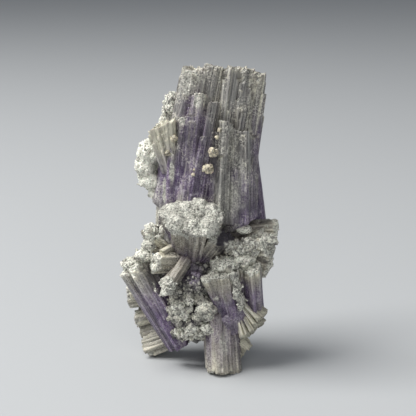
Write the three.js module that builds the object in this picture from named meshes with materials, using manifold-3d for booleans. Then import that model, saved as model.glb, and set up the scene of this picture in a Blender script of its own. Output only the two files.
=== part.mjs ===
// Aragonite cluster: a tall leaning bundle of parallel prisms that stands on a burst of shorter
// prisms, with pale lumps of fine crust between them. Millimetres, +Z up; the origin is on the
// surface that the cluster stands on, under the middle of its bounding box.
import * as THREE from 'three';
import { mergeVertices } from 'three/addons/utils/BufferGeometryUtils.js';
import Module from 'manifold-3d';

const wasm = await Module();
wasm.setup();

// ---- driving dimensions ----------------------------------------------------------------------
const CLUSTER_HEIGHT = 93; // floor to the top of the tall crystal
const SEAM = 0.35; // gap kept where one crystal stops against another
const PRISM_SIDES = 6; // aragonite twins grow as six-sided prisms
const CORNER_SPREAD = 0.14; // how uneven the corners of a prism are, as a share of its half width
const CAP_RISE = 0.5; // height of the blunt pyramid on each prism's end
const LUMP_SPREAD = 0.2; // how uneven a lump is, as a share of its radius
const GOLDEN_ANGLE = Math.PI * (3 - Math.sqrt(5));
const RING_REACH = 0.66; // distance of a bundle's outermost prism from its axis, as a share of its half width
const BLADE_SHARE = 1.2; // width of a prism in a bundle of n, times the root of n, as a share of the bundle
const GIRTH_SPREAD = 0.1; // how much the prisms of a bundle differ in width
const SLOPE_SPREAD = 0.16; // how much the ends of a bundle's prisms differ in slope
const MERGE_DISTANCE = 1e-3; // corners of a unit shape that are closer than this are one
const FLOOR_SLAB = [200, 200, 40]; // width, depth and thickness of the slab that trims the feet flat
const FINEST = 0.12; // slivers thinner than this are left out

// ---- small helpers ---------------------------------------------------------------------------
const vector = ([x, y, z]) => new THREE.Vector3(x, y, z);
const mix = (a, b, share) => a + (b - a) * share;

// A repeatable number from 0 to 1 for any whole number.
function chance(seed) {
  const wave = Math.sin(seed * 12.9898 + 4.137) * 43758.5453;
  return wave - Math.floor(wave);
}

// A three.js shape with its shared corners merged, so that moving a corner keeps it closed.
function closed(geometry) {
  geometry.deleteAttribute('normal');
  geometry.deleteAttribute('uv');
  return mergeVertices(geometry, MERGE_DISTANCE);
}

function toSolid(geometry) {
  return new wasm.Manifold(new wasm.Mesh({
    numProp: 3,
    vertProperties: Float32Array.from(geometry.attributes.position.array),
    triVerts: Uint32Array.from(geometry.index.array),
  }));
}

function toGeometry(solid) {
  const mesh = solid.getMesh();
  const geometry = new THREE.BufferGeometry();
  geometry.setAttribute('position', new THREE.BufferAttribute(mesh.vertProperties, 3));
  geometry.setIndex(new THREE.BufferAttribute(mesh.triVerts, 1));
  return geometry;
}

function join(solids) {
  return solids.reduce((all, next) => all.add(next));
}

function largestBody(solid) {
  return solid.decompose().reduce((a, b) => (b.volume() > a.volume() ? b : a));
}

// The three directions of a prism: across, deep and along its own axis.
function directions(foot, head) {
  const along = head.clone().sub(foot).normalize();
  const depthHint = Math.abs(along.y) > 0.9 ? new THREE.Vector3(0, 0, 1) : new THREE.Vector3(0, 1, 0);
  const across = new THREE.Vector3().crossVectors(depthHint, along).normalize();
  const deep = new THREE.Vector3().crossVectors(along, across);
  return { along, across, deep };
}

// ---- one prism -------------------------------------------------------------------------------
// A six-sided prism from foot to head with uneven corners, a foot that may be narrower or wider
// than its head, and a blunt, tilted end. extra makes it larger all round.
function prism({ foot, head, half, footScale = 1, turn = 0, slope = [0, 0], seed }, extra = 0) {
  const from = vector(foot);
  const to = vector(head);
  const { along, across, deep } = directions(from, to);
  const length = from.distanceTo(to);
  const geometry = closed(new THREE.CylinderGeometry(1, 1, 1, PRISM_SIDES, 1));
  geometry.rotateX(Math.PI / 2);
  geometry.translate(0, 0, 0.5);
  const place = geometry.attributes.position;
  for (let i = 0; i < place.count; i += 1) {
    const reach = Math.hypot(place.getX(i), place.getY(i));
    const angle = Math.atan2(place.getY(i), place.getX(i));
    const corner = (Math.round((angle / (2 * Math.PI)) * PRISM_SIDES + 0.5) + PRISM_SIDES) % PRISM_SIDES;
    const share = place.getZ(i);
    const uneven = 1 + CORNER_SPREAD * (2 * chance(seed * 7 + corner) - 1);
    const width = reach * uneven * mix(footScale, 1, share);
    const u = Math.cos(angle + turn) * (width * half[0] + reach * extra);
    const v = Math.sin(angle + turn) * (width * half[1] + reach * extra);
    const rise = reach < 0.5 ? CAP_RISE * chance(seed * 5 + 2) : 0;
    const w = share > 0.5 ? length + extra + rise + slope[0] * u + slope[1] * v : -extra;
    const point = from.clone().addScaledVector(across, u).addScaledVector(deep, v).addScaledVector(along, w);
    place.setXYZ(i, point.x, point.y, point.z);
  }
  return toSolid(geometry);
}

// ---- a bundle of parallel prisms -------------------------------------------------------------
// Prisms packed like seeds in a sunflower round one axis, each stopping a step short of the
// tip. size is the bundle's full width and depth at its tip, rootScale its size at the root.
function bundle({ root, tip, size, count, rootScale = 0.8, step = 0.07, slope = [0, 0], seed }) {
  const { along, across, deep } = directions(vector(root), vector(tip));
  const length = vector(root).distanceTo(vector(tip));
  const share = BLADE_SHARE / Math.sqrt(count);
  return Array.from({ length: count }, (_, i) => {
    const ring = RING_REACH * Math.sqrt((i + 0.5) / count);
    const angle = i * GOLDEN_ANGLE + seed;
    const offset = [Math.cos(angle) * ring * size[0] / 2, Math.sin(angle) * ring * size[1] / 2];
    const drop = length * step * chance(seed * 31 + i * 3) - slope[0] * offset[0] - slope[1] * offset[1];
    const at = (end, scale, back) => vector(end)
      .addScaledVector(across, offset[0] * scale)
      .addScaledVector(deep, offset[1] * scale)
      .addScaledVector(along, -back)
      .toArray();
    const girth = share * mix(1 - GIRTH_SPREAD, 1 + GIRTH_SPREAD, chance(seed * 17 + i));
    const tilt = [chance(seed + i * 11) - 0.5, chance(seed + i * 13) - 0.5];
    return {
      foot: at(root, rootScale, 0),
      head: at(tip, 1, drop),
      half: [girth * size[0] / 2, girth * size[1] / 2],
      footScale: rootScale,
      turn: chance(seed * 3 + i) * Math.PI / 3,
      slope: [slope[0] + SLOPE_SPREAD * tilt[0], slope[1] + SLOPE_SPREAD * tilt[1]],
      seed: seed * 41 + i,
    };
  });
}

// ---- one lump of crust -----------------------------------------------------------------------
// A ball of 20 or 80 flat facets, stretched to its three radii, with uneven corners.
function lump({ centre, radius, detail, seed }, extra = 0) {
  const geometry = closed(new THREE.IcosahedronGeometry(1, detail));
  const place = geometry.attributes.position;
  for (let i = 0; i < place.count; i += 1) {
    const way = new THREE.Vector3().fromBufferAttribute(place, i);
    const spot = Math.round(way.x * 50) * 3 + Math.round(way.y * 50) * 7 + Math.round(way.z * 50) * 13;
    const uneven = 1 + LUMP_SPREAD * (2 * chance(spot + seed * 19) - 1);
    const reach = [0, 1, 2].map((axis) => radius[axis] * uneven + extra);
    place.setXYZ(i, centre[0] + way.x * reach[0], centre[1] + way.y * reach[1], centre[2] + way.z * reach[2]);
  }
  return toSolid(geometry);
}

// Rows of [x, y, z, radius] or [x, y, z, radius x, y, z] become lumps, of 20 facets each, or 80 if fine.
function lumps(rows, seed, fine = false) {
  return rows.map(([x, y, z, ...radius], i) => ({
    centre: [x, y, z],
    radius: radius.length === 3 ? radius : [radius[0], radius[0], radius[0]],
    detail: fine ? 1 : 0,
    seed: seed + i,
  }));
}

// Rows of foot, head, half width and depth, foot scale, turn in degrees and end slope become prisms.
function blades(rows, seed) {
  return rows.map(([foot, head, half, footScale = 1, turn = 0, slope = [0, 0]], i) => ({
    foot, head, half, footScale, slope, turn: THREE.MathUtils.degToRad(turn), seed: seed + i,
  }));
}

// ---- the tall leaning crystal ----------------------------------------------------------------
const tallBlades = blades([
  [[1, 1, 30], [6.5, 2.5, 89], [7, 6.5], 0.85, 20],
  [[-11, -1, 50], [-1.8, -1, 92], [3.4, 3.6], 1, 10, [0.1, 0.1]],
  [[-4, 0, 42], [5.2, 0, CLUSTER_HEIGHT - 0.6], [4.1, 4.6], 1, 0, [0, -0.05]],
  [[3.5, -2, 42], [10.6, -2, CLUSTER_HEIGHT - 0.5], [2.6, 4], 1, 25, [-0.05, 0]],
  [[7.9, -1.5, 44], [14, -1, 92], [2.5, 4.4], 1, 5, [-0.12, 0]],
  [[11.7, 1, 46], [18, 1, 90.4], [2.7, 4.8], 1, 30, [-0.16, 0]],
  [[-3.6, -7, 52], [0.1, -5, 84.4], [2, 2.4], 1.3, 15, [0.15, -0.3]],
  [[-1.2, -7.5, 50], [4.4, -6, 82], [2, 2.4], 1.3, 30, [0.2, -0.3]],
  [[12.2, -5, 68], [14.9, -4.2, 86.3], [1, 1.3], 1, 0],
  [[6.8, -6.5, 45.8], [8.2, -6, 76], [2.6, 3], 1, 10, [-0.3, -0.3]],
  [[12.4, -6.4, 45.2], [12.4, -5.4, 73.4], [3.2, 3], 1, 30, [-0.1, -0.3]],
  [[15, -1, 45.7], [15.2, -1, 71], [2.8, 4.2], 1, 0, [0.1, -0.1]],
  [[-5.8, -4.5, 42], [-2.8, -4, 77.4], [4.4, 4.2], 1.1, 20, [0.1, -0.3]],
  [[-10, -3, 38], [-8.3, -2, 69.6], [3.4, 3.8], 1.05, 0, [0.2, -0.1]],
  [[-8, 5, 46], [-2.2, 5, 88], [4.2, 4.2], 1, 20, [0.1, 0.1]],
  [[-1, 8, 44], [5.2, 7.4, 90], [4.6, 3.8], 1, 0, [0, 0.1]],
  [[7, 8, 44], [13.4, 7, 87.2], [4.8, 3.8], 1, 25, [-0.1, 0.1]],
  [[-11, 3, 50], [-7.4, 3, 75], [3.2, 3.6], 1, 0, [0.15, 0.1]],
  [[1, 11, 46], [4.4, 10.6, 76], [3.6, 2.6], 1.1, 10, [0, 0.3]],
], 100);

// ---- the cluster, in the order in which a crystal stops against those before it ---------------
const stone = { pale: 0xb3b1a6, beige: 0x8d8880, grey: 0x7b7a7c, violet: 0x5f566b };

const members = [
  {
    name: 'crust_mass',
    colour: stone.pale,
    lumps: [
      ...lumps([[-3, -6.4, 19.6, 7, 5.6, 7.6]], 290, true),
      ...lumps([[0, 0, 28, 10.4, 9, 10], [4, 2, 17, 8.4, 7.8, 7.4], [1, 1, 37, 8, 6.8, 6.4]], 295),
      ...lumps([
        [-2.8, -8.8, 12.8, 5.4, 4, 4.6], [-0.4, -9, 27, 3.6, 3.4, 4], [-6.4, -11.4, 18.6, 3.5, 2.8, 3.9],
        [1.1, -12.2, 18.8, 3.5, 2.8, 3.7], [-2.5, -12.4, 13.2, 3.2, 2.4, 2.4], [-6.4, -10.4, 12.2, 2.5, 2.3, 2.3],
        [-4.4, -8.6, 25.4, 3.4, 2.6, 2.6], [-9, -3, 29, 4.4, 4, 3.6],
      ], 300),
    ],
  },
  {
    name: 'tall_crystal',
    colour: stone.grey,
    prisms: tallBlades,
    lumps: lumps([[-8, 0, 82.4, 2.2], [-8.8, -0.2, 79, 2.6], [-9.6, 0, 75.6, 2.8]], 345),
  },
  {
    name: 'rear_crystal',
    colour: stone.violet,
    prisms: blades([
      [[18, 6.4, 36], [14.6, 6, 72], [2.6, 4.2], 1.6, 0, [0.4, 0]],
      [[13.5, 9.4, 36], [13.4, 9, 68], [2.8, 3], 1.3, 20, [0.2, 0.2]],
    ], 130),
  },
  {
    name: 'front_crystal',
    colour: stone.beige,
    prisms: [
      ...bundle({
        root: [-2.6, 0, 34], tip: [-1.4, -14.4, 50], size: [17.6, 14.6], count: 7,
        rootScale: 0.74, step: 0.06, seed: 3,
      }),
      ...bundle({
        root: [-6.6, -1, 36], tip: [-8.8, -9.6, 51], size: [6.6, 7.4], count: 2,
        rootScale: 0.74, step: 0.06, seed: 4,
      }),
      ...bundle({
        root: [0.4, -4, 35], tip: [5.4, -12.6, 44.6], size: [8.6, 7], count: 2,
        rootScale: 0.85, seed: 9,
      }),
    ],
    lumps: lumps([
      [-8.8, -9.8, 50.9, 2.8, 2.6, 1.8], [4.2, -12.6, 51.2, 2.6, 2.4, 2], [-2, -12, 52.2, 3.8, 3.2, 1.7],
      [-4, -16, 48.6, 3, 2.2, 1.6],
    ], 330),
  },
  {
    name: 'shoulder_crystal',
    colour: stone.beige,
    prisms: bundle({
      root: [-8.8, -4, 61], tip: [-12, -5, 76], size: [8.6, 6.6], count: 4,
      rootScale: 0.5, step: 0.06, slope: [0.15, 0], seed: 5,
    }),
  },
  {
    name: 'side_crust',
    colour: stone.pale,
    lumps: lumps([
      [-15.4, 1, 65.6, 3.6, 3.8, 3.8], [-16.6, 1.4, 61.2, 3.2, 4, 3.4], [-15, 0.6, 57, 3, 3.2, 3],
      [-14, 4, 62, 3.4], [-13.4, 0, 53.2, 2.4, 2, 2.2],
    ], 360),
  },
  {
    name: 'left_crystal',
    colour: stone.beige,
    prisms: bundle({
      root: [-6.2, -7.4, 6.6], tip: [-20.8, -6.4, 32.6], size: [10.4, 10], count: 5,
      rootScale: 0.8, step: 0.06, seed: 8,
    }),
    lumps: lumps([[-21, -6.8, 32.8, 3.2, 3, 1.8], [-17.2, -7, 35, 2.8, 2.6, 2]], 375),
  },
  {
    name: 'right_crystal',
    colour: stone.violet,
    prisms: [
      ...bundle({
        root: [10.2, -9.4, 13], tip: [5, -12.4, 32.4], size: [10.8, 9], count: 5,
        rootScale: 0.56, seed: 11,
      }),
      ...bundle({
        root: [16, -5.4, 16.6], tip: [14.2, -9, 33.4], size: [10.2, 9.6], count: 4,
        rootScale: 0.84, step: 0.06, seed: 13,
      }),
    ],
    lumps: lumps([
      [7.6, -10.8, 33.4, 4.4, 3.6, 2.4], [13, -8.4, 34.4, 3.8, 3.4, 2], [10.2, -12.8, 30.6, 1.7, 2.6, 2.4],
      [11, -12, 25.6, 1.6, 2.6, 4], [10, -10, 16, 4.6, 2.8, 5],
    ], 385),
  },
  {
    name: 'right_upper_crystal',
    colour: stone.beige,
    prisms: [
      ...bundle({ root: [8, 0, 40.6], tip: [24.4, -2.8, 42.2], size: [5.2, 5.4], count: 3, seed: 17 }),
      ...bundle({ root: [6, 1, 35], tip: [21.4, -6, 39.4], size: [8.6, 8], count: 3, seed: 19 }),
      ...bundle({ root: [7, -1, 37], tip: [22.4, -3.4, 31], size: [8.4, 8], count: 3, seed: 23 }),
      ...bundle({ root: [5, -3, 36], tip: [9.8, -9.8, 40.4], size: [6, 5.6], count: 1, seed: 29 }),
    ],
    lumps: lumps([
      [20.6, -6.2, 39.4, 3, 2.2, 3], [15.4, -8, 38.6, 3.4, 2.2, 3.2], [13.6, -6, 43.2, 2.4, 1.8, 1.5],
    ], 395),
  },
  {
    name: 'foot_crystal',
    colour: stone.beige,
    prisms: bundle({
      root: [6.2, -7, 17], tip: [7.2, -13.4, -0.6], size: [10.4, 9.4], count: 5,
      rootScale: 0.96, step: 0.03, seed: 27,
    }),
  },
  {
    name: 'right_side_crystal',
    colour: stone.beige,
    prisms: [
      ...bundle({
        root: [6, -3, 22], tip: [18.2, -7, 11.6], size: [14.4, 9], count: 4,
        rootScale: 0.7, step: 0.1, seed: 47,
      }),
      ...bundle({ root: [5, -4, 14.6], tip: [15.6, -6, 4.4], size: [8.6, 7.4], count: 2, seed: 49 }),
    ],
  },
  {
    name: 'left_foot_crystal',
    colour: stone.beige,
    prisms: bundle({
      root: [-2, 1, 10], tip: [-17.2, 5, 3.5], size: [11, 10.4], count: 4,
      rootScale: 0.7, step: 0.05, seed: 31,
    }),
  },
  {
    name: 'left_rear_crystals',
    colour: stone.beige,
    prisms: [
      ...bundle({ root: [-3, 4, 22], tip: [-23.4, 6.6, 20], size: [9, 8.6], count: 3, seed: 37 }),
      ...bundle({ root: [-2, 5, 16], tip: [-20.2, 6.4, 13], size: [7, 7], count: 2, seed: 39 }),
    ],
  },
  {
    name: 'right_foot_crystal',
    colour: stone.beige,
    prisms: bundle({
      root: [5, 3, 17], tip: [9, 12, -0.8], size: [10.8, 10], count: 4,
      rootScale: 0.86, step: 0.04, seed: 43,
    }),
  },
  {
    name: 'left_upper_crystal',
    colour: stone.pale,
    prisms: [
      ...bundle({ root: [-5, -1, 33], tip: [-14.2, -4.6, 42.4], size: [8.4, 7], count: 3, seed: 51 }),
      ...bundle({
        root: [-3.6, -4, 32.6], tip: [-14.8, -9.4, 33.6], size: [6.6, 5.6], count: 2,
        rootScale: 0.9, seed: 53,
      }),
    ],
    lumps: lumps([[-14.6, -4.6, 41.4, 2.8, 2.4, 3], [-15.4, -5.6, 38, 2.4, 2.2, 2.2]], 405),
  },
  {
    name: 'small_crystal',
    colour: stone.beige,
    prisms: blades([
      [[-3.6, -7, 34], [-9.6, -15.2, 27.2], [2.1, 2], 1, 10, [0.1, 0.2]],
      [[-6, -7, 33], [-11, -14, 28.4], [1.3, 1.2], 1, 0, [0.1, 0]],
    ], 150),
    lumps: lumps([[-8.9, -14.2, 28.6, 2.1, 1.7, 1.9], [-9.8, -15.2, 26.6, 1.8, 1.7, 1.8]], 431),
  },
  {
    name: 'back_upper_crystal',
    colour: stone.beige,
    prisms: bundle({
      root: [1, 3, 30], tip: [4, 15.2, 45], size: [15, 12.6], count: 5, rootScale: 0.7, seed: 57,
    }),
    lumps: lumps([[4.4, 15.4, 45.6, 5, 3.6, 2]], 415),
  },
  {
    name: 'back_left_crystal',
    colour: stone.beige,
    prisms: bundle({
      root: [-1, 3, 27], tip: [-11, 14.4, 33], size: [12.4, 11], count: 4, rootScale: 0.74, seed: 61,
    }),
    lumps: lumps([[-11.4, 14.6, 33.6, 3.4, 2.6, 2.4]], 420),
  },
  {
    name: 'back_lower_crystal',
    colour: stone.violet,
    prisms: bundle({
      root: [2, 4, 22], tip: [1, 17, 13.2], size: [13, 12.4], count: 5, rootScale: 0.74, seed: 67,
    }),
  },
];

// ---- assembly --------------------------------------------------------------------------------
const slab = closed(new THREE.BoxGeometry(...FLOOR_SLAB));
slab.translate(0, 0, -FLOOR_SLAB[2] / 2);
const floor = toSolid(slab);

const cluster = new THREE.Group();
let taken = null;
for (const { name, colour, prisms = [], lumps: crust = [] } of members) {
  const whole = join([...prisms.map((p) => prism(p)), ...crust.map((c) => lump(c))]);
  const grown = join([...prisms.map((p) => prism(p, SEAM)), ...crust.map((c) => lump(c, SEAM))]);
  const trimmed = whole.subtract(floor);
  const body = largestBody(taken ? trimmed.subtract(taken) : trimmed).simplify(FINEST);
  taken = taken ? taken.add(grown) : grown;
  const material = new THREE.MeshStandardMaterial({ color: colour, roughness: 0.6, metalness: 0 });
  const mesh = new THREE.Mesh(toGeometry(body), material);
  mesh.name = name;
  cluster.add(mesh);
}

export default cluster;
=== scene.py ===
"""Aragonite cluster: a tall leaning bundle of striated prisms on a burst of shorter ones, with crust.

Shapes are worked out in millimetres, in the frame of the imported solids, and put into meshes in metres.
Each prism has its own directions: across, deep and along, from its foot to its head.
"""
import itertools
import math

import bpy
import numpy as np
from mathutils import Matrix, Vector


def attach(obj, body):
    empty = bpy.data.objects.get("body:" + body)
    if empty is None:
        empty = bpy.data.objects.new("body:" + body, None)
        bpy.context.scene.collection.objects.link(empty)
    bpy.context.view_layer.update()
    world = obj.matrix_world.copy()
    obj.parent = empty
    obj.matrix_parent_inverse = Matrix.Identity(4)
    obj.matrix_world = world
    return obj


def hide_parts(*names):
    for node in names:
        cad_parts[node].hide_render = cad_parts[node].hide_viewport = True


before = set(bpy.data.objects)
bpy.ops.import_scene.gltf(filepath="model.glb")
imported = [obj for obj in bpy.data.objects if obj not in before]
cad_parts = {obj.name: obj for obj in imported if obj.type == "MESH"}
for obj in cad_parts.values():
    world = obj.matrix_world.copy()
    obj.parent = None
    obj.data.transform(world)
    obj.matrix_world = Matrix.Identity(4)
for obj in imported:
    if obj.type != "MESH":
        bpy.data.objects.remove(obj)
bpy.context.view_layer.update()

bl_info = {
    "name": "Aragonite cluster",
    "version": (1, 0, 0),
    "blender": (4, 5, 0),
    "location": "3D View > Sidebar > Aragonite",
    "description": "Builds a mineral specimen of striated aragonite prisms with crust",
    "category": "Add Mesh",
}

MM = 0.001
GOLDEN_ANGLE = math.pi * (3 - math.sqrt(5))
PRISM_SIDES = 6
CORNER_SPREAD = 0.14  # how uneven a prism's corners are, as a share of its half width
CAP_RISE = 0.5  # height of the blunt end, in mm
RING_REACH = 0.66  # distance of a bundle's outermost prism from its axis, as a share of its half width
BLADE_SHARE = 1.2  # width of a prism in a bundle of n, times the root of n, as a share of the bundle
GIRTH_SPREAD = 0.1
SLOPE_SPREAD = 0.16
SLANT = 0.6  # how steeply the rays that find a crystal's surface climb away from its axis
FIRST_RAY = 0.05  # where the first rays start on a crystal's axis, in mm from its root
ROOT_RAYS = (-75, -35, 0)  # how those rays rise, in degrees
ROW_STRETCH = 1.35  # step between rows along a crystal, as a multiple of the step round it
COLUMN_PITCH = 0.27  # mesh step round a crystal, in mm
BALL_PITCH = 0.27  # mesh step over a lump of crust, in mm
COARSE_GRAIN = 1.5  # size of the crust's larger facets, in mm
FINE_GRAIN = 0.68  # and of its smaller ones
CHIP_POINTS = 13  # a chip has a ring of six, a smaller ring of six and a point


# ---- repeatable chance and noise --------------------------------------------------------------
def chance(seed):
    """A repeatable number from 0 to 1: the fraction part of a large sine of the seed."""
    wave = math.sin(seed * 12.9898 + 4.137) * 43758.5453
    return wave - math.floor(wave)


def scatter(cell, salt):
    """A repeatable number from 0 to 1 for each row of three whole numbers."""
    i, j, k = cell[..., 0], cell[..., 1], cell[..., 2]
    mixed = (i * 374761393 + j * 668265263 + k * 1442695041 + salt * 1274126177) & 0xFFFFFFFF
    mixed = ((mixed ^ (mixed >> 13)) * 1103515245) & 0xFFFFFFFF
    mixed = ((mixed ^ (mixed >> 16)) * 668265263) & 0xFFFFFFFF
    return ((mixed ^ (mixed >> 15)) & 0xFFFFFF) / 16777216.0


def cloud(points, salt=0):
    """Smooth noise from -1 to 1: a number at each whole place, blended by 3t² - 2t³ between them."""
    low = np.floor(points).astype(np.int64)
    t = points - low
    t = t * t * (3 - 2 * t)
    total = 0
    for corner in itertools.product((0, 1), repeat=3):
        weight = np.prod(np.where(corner, t, 1 - t), axis=1)
        total = total + weight * scatter(low + np.array(corner), salt)
    return 2 * total - 1


def pebbles(points, salt=0, flat=False):
    """One point is scattered in each unit cube. Gives the distance to the nearest point, how much
    farther the next one is, the nearest one's own number from 0 to 1, and the way from it."""
    low = np.floor(points).astype(np.int64)
    nearest = np.full(len(points), 9.0)
    second = np.full(len(points), 9.0)
    own = np.zeros(len(points))
    way = np.zeros(points.shape)
    around = (-1, 0, 1)
    for offset in itertools.product(around, around, (0,) if flat else around):
        cell = low + np.array(offset)
        spot = cell + np.stack([scatter(cell, salt + axis) for axis in range(3)], axis=1)
        if flat:
            spot[:, 2] = points[:, 2]
        away = ((points - spot) ** 2).sum(axis=1)
        closer = away < nearest
        second = np.where(closer, nearest, np.minimum(second, away))
        own = np.where(closer, scatter(cell, salt + 3), own)
        way = np.where(closer[:, None], points - spot, way)
        nearest = np.minimum(nearest, away)
    return np.sqrt(nearest), np.sqrt(second) - np.sqrt(nearest), own, way


def facets(points, salt):
    """Broken facets: every cell round a scattered point is a plane with its own height and tilt, so
    the height is number - 0.5 + tilt · way. Gives that height, and the gap to the next cell."""
    _, gap, own, way = pebbles(points, salt)
    turn, lift = own * 61.0, 2 * ((own * 17.3) % 1) - 1
    flat = np.sqrt(1 - lift ** 2)
    tilt = np.column_stack([np.cos(turn) * flat, np.sin(turn) * flat, lift])
    return own - 0.5 + 0.9 * (way * tilt).sum(axis=1), gap, own


def smooth(low, high, value):
    """0 below low, 1 above high, and 3t² - 2t³ between them."""
    t = np.clip((value - low) / (high - low), 0, 1)
    return t * t * (3 - 2 * t)


# ---- the crystals' own layout, as in the solids ------------------------------------------------
def directions(foot, head):
    """Unit vectors across, deep and along for a prism from foot to head."""
    along = np.subtract(head, foot)
    along = along / np.linalg.norm(along)
    hint = np.array([0, 0, 1.0]) if abs(along[1]) > 0.9 else np.array([0, 1.0, 0])
    across = np.cross(hint, along)
    across = across / np.linalg.norm(across)
    return across, np.cross(along, across), along


def blades(rows, seed):
    """Rows of foot, head, half width and depth, foot scale, turn in degrees and end slope."""
    made = []
    for i, row in enumerate(rows):
        foot, head, half, foot_scale, turn, slope = (list(row) + [1, 0, (0, 0)][len(row) - 3:])[:6]
        made.append({
            "foot": np.array(foot, float), "head": np.array(head, float), "half": half,
            "foot_scale": foot_scale, "turn": math.radians(turn), "slope": slope, "seed": seed + i,
        })
    return made


def bundle(root, tip, size, count, seed, root_scale=0.8, step=0.07, slope=(0, 0)):
    """Prisms packed like seeds in a sunflower round one axis: prism i lies at the angle i times the
    golden angle, at a distance that grows with the root of i, and stops a little short of the tip."""
    across, deep, along = directions(root, tip)
    length = np.linalg.norm(np.subtract(tip, root))
    share = BLADE_SHARE / math.sqrt(count)
    made = []
    for i in range(count):
        ring = RING_REACH * math.sqrt((i + 0.5) / count)
        angle = i * GOLDEN_ANGLE + seed
        offset = (math.cos(angle) * ring * size[0] / 2, math.sin(angle) * ring * size[1] / 2)
        sideways = across * offset[0] + deep * offset[1]
        drop = length * step * chance(seed * 31 + i * 3) - slope[0] * offset[0] - slope[1] * offset[1]
        girth = share * (1 - GIRTH_SPREAD + 2 * GIRTH_SPREAD * chance(seed * 17 + i))
        tilt = (chance(seed + i * 11) - 0.5, chance(seed + i * 13) - 0.5)
        made.append({
            "foot": np.array(root) + sideways * root_scale,
            "head": np.array(tip) + sideways - along * drop,
            "half": (girth * size[0] / 2, girth * size[1] / 2),
            "foot_scale": root_scale,
            "turn": chance(seed * 3 + i) * math.pi / 3,
            "slope": (slope[0] + SLOPE_SPREAD * tilt[0], slope[1] + SLOPE_SPREAD * tilt[1]),
            "seed": seed * 41 + i,
        })
    return made


# The tall bundle's prisms, as rows for blades: in mm and degrees.
TALL_BLADES = [
    [(1, 1, 30), (6.5, 2.5, 89), (7, 6.5), 0.85, 20],
    [(-11, -1, 50), (-1.8, -1, 92), (3.4, 3.6), 1, 10, (0.1, 0.1)],
    [(-4, 0, 42), (5.2, 0, 92.4), (4.1, 4.6), 1, 0, (0, -0.05)],
    [(3.5, -2, 42), (10.6, -2, 92.5), (2.6, 4), 1, 25, (-0.05, 0)],
    [(7.9, -1.5, 44), (14, -1, 92), (2.5, 4.4), 1, 5, (-0.12, 0)],
    [(11.7, 1, 46), (18, 1, 90.4), (2.7, 4.8), 1, 30, (-0.16, 0)],
    [(-3.6, -7, 52), (0.1, -5, 84.4), (2, 2.4), 1.3, 15, (0.15, -0.3)],
    [(-1.2, -7.5, 50), (4.4, -6, 82), (2, 2.4), 1.3, 30, (0.2, -0.3)],
    [(12.2, -5, 68), (14.9, -4.2, 86.3), (1, 1.3), 1, 0],
    [(6.8, -6.5, 45.8), (8.2, -6, 76), (2.6, 3), 1, 10, (-0.3, -0.3)],
    [(12.4, -6.4, 45.2), (12.4, -5.4, 73.4), (3.2, 3), 1, 30, (-0.1, -0.3)],
    [(15, -1, 45.7), (15.2, -1, 71), (2.8, 4.2), 1, 0, (0.1, -0.1)],
    [(-5.8, -4.5, 42), (-2.8, -4, 77.4), (4.4, 4.2), 1.1, 20, (0.1, -0.3)],
    [(-10, -3, 38), (-8.3, -2, 69.6), (3.4, 3.8), 1.05, 0, (0.2, -0.1)],
    [(-8, 5, 46), (-2.2, 5, 88), (4.2, 4.2), 1, 20, (0.1, 0.1)],
    [(-1, 8, 44), (5.2, 7.4, 90), (4.6, 3.8), 1, 0, (0, 0.1)],
    [(7, 8, 44), (13.4, 7, 87.2), (4.8, 3.8), 1, 25, (-0.1, 0.1)],
    [(-11, 3, 50), (-7.4, 3, 75), (3.2, 3.6), 1, 0, (0.15, 0.1)],
    [(1, 11, 46), (4.4, 10.6, 76), (3.6, 2.6), 1.1, 10, (0, 0.3)],
]


def slivers(rows, each, seed, size=(0.6, 1.3), shortest=0.5):
    """The prisms, with thin ones grown along the sides of each. A sliver lies at a chance angle round
    its prism's rim, runs parallel to it and ends at a chance share of its length."""
    made = list(rows)
    for i, row in enumerate(rows):
        across, deep, _ = directions(row["foot"], row["head"])
        for k in range(each):
            luck = [chance(seed + 19.7 * i + 5.3 * k + 0.61 * n) for n in range(6)]
            turn = 2 * math.pi * luck[0]
            edge = across * math.cos(turn) * row["half"][0] + deep * math.sin(turn) * row["half"][1]
            share = shortest + (0.99 - shortest) * math.sqrt(luck[1])
            half = size[0] + (size[1] - size[0]) * luck[2]
            foot, head = row["foot"] + edge * 0.86 * row["foot_scale"], row["head"] + edge * 0.86
            made.append({
                "foot": foot, "head": foot + (head - foot) * share,
                "half": (half, half * (0.7 + 0.6 * luck[3])),
                "foot_scale": 1, "turn": luck[4], "slope": (0.5 * luck[5] - 0.25, 0.5 * luck[3] - 0.25),
                "seed": row["seed"] + 7 * k + 3,
            })
    return made


def between(rows, pairs, girth=0.8, lower=0.8):
    """Prisms that fill the grooves between pairs of others: each has the mean of the pair's ends."""
    made = []
    for first, second in pairs:
        a, b = rows[first], rows[second]
        along = directions(a["foot"], a["head"])[2]
        made.append({
            "foot": (a["foot"] + b["foot"]) / 2, "head": (a["head"] + b["head"]) / 2 - along * lower,
            "half": tuple(girth * (p + q) / 2 for p, q in zip(a["half"], b["half"])),
            "foot_scale": 1, "turn": a["turn"] + 0.4, "slope": a["slope"], "seed": a["seed"] + 50,
        })
    return made


# ---- surfaces ---------------------------------------------------------------------------------
def shell_faces(rings, columns):
    """Faces of rings of points, each joined round on itself and to the next, with a fan to one point
    at each end. The two end points come after all the rings."""
    r, c = np.meshgrid(np.arange(rings - 1), np.arange(columns), indexing="ij")
    here = (r * columns + c).ravel()
    beside = (r * columns + (c + 1) % columns).ravel()
    quads = np.stack([here, beside, beside + columns, here + columns], axis=1)
    c = np.arange(columns)
    following = (c + 1) % columns
    last = (rings - 1) * columns
    below = np.stack([np.full(columns, rings * columns), following, c], axis=1)
    above = np.stack([np.full(columns, rings * columns + 1), last + c, last + following], axis=1)
    return quads, np.concatenate([below, above])


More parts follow.
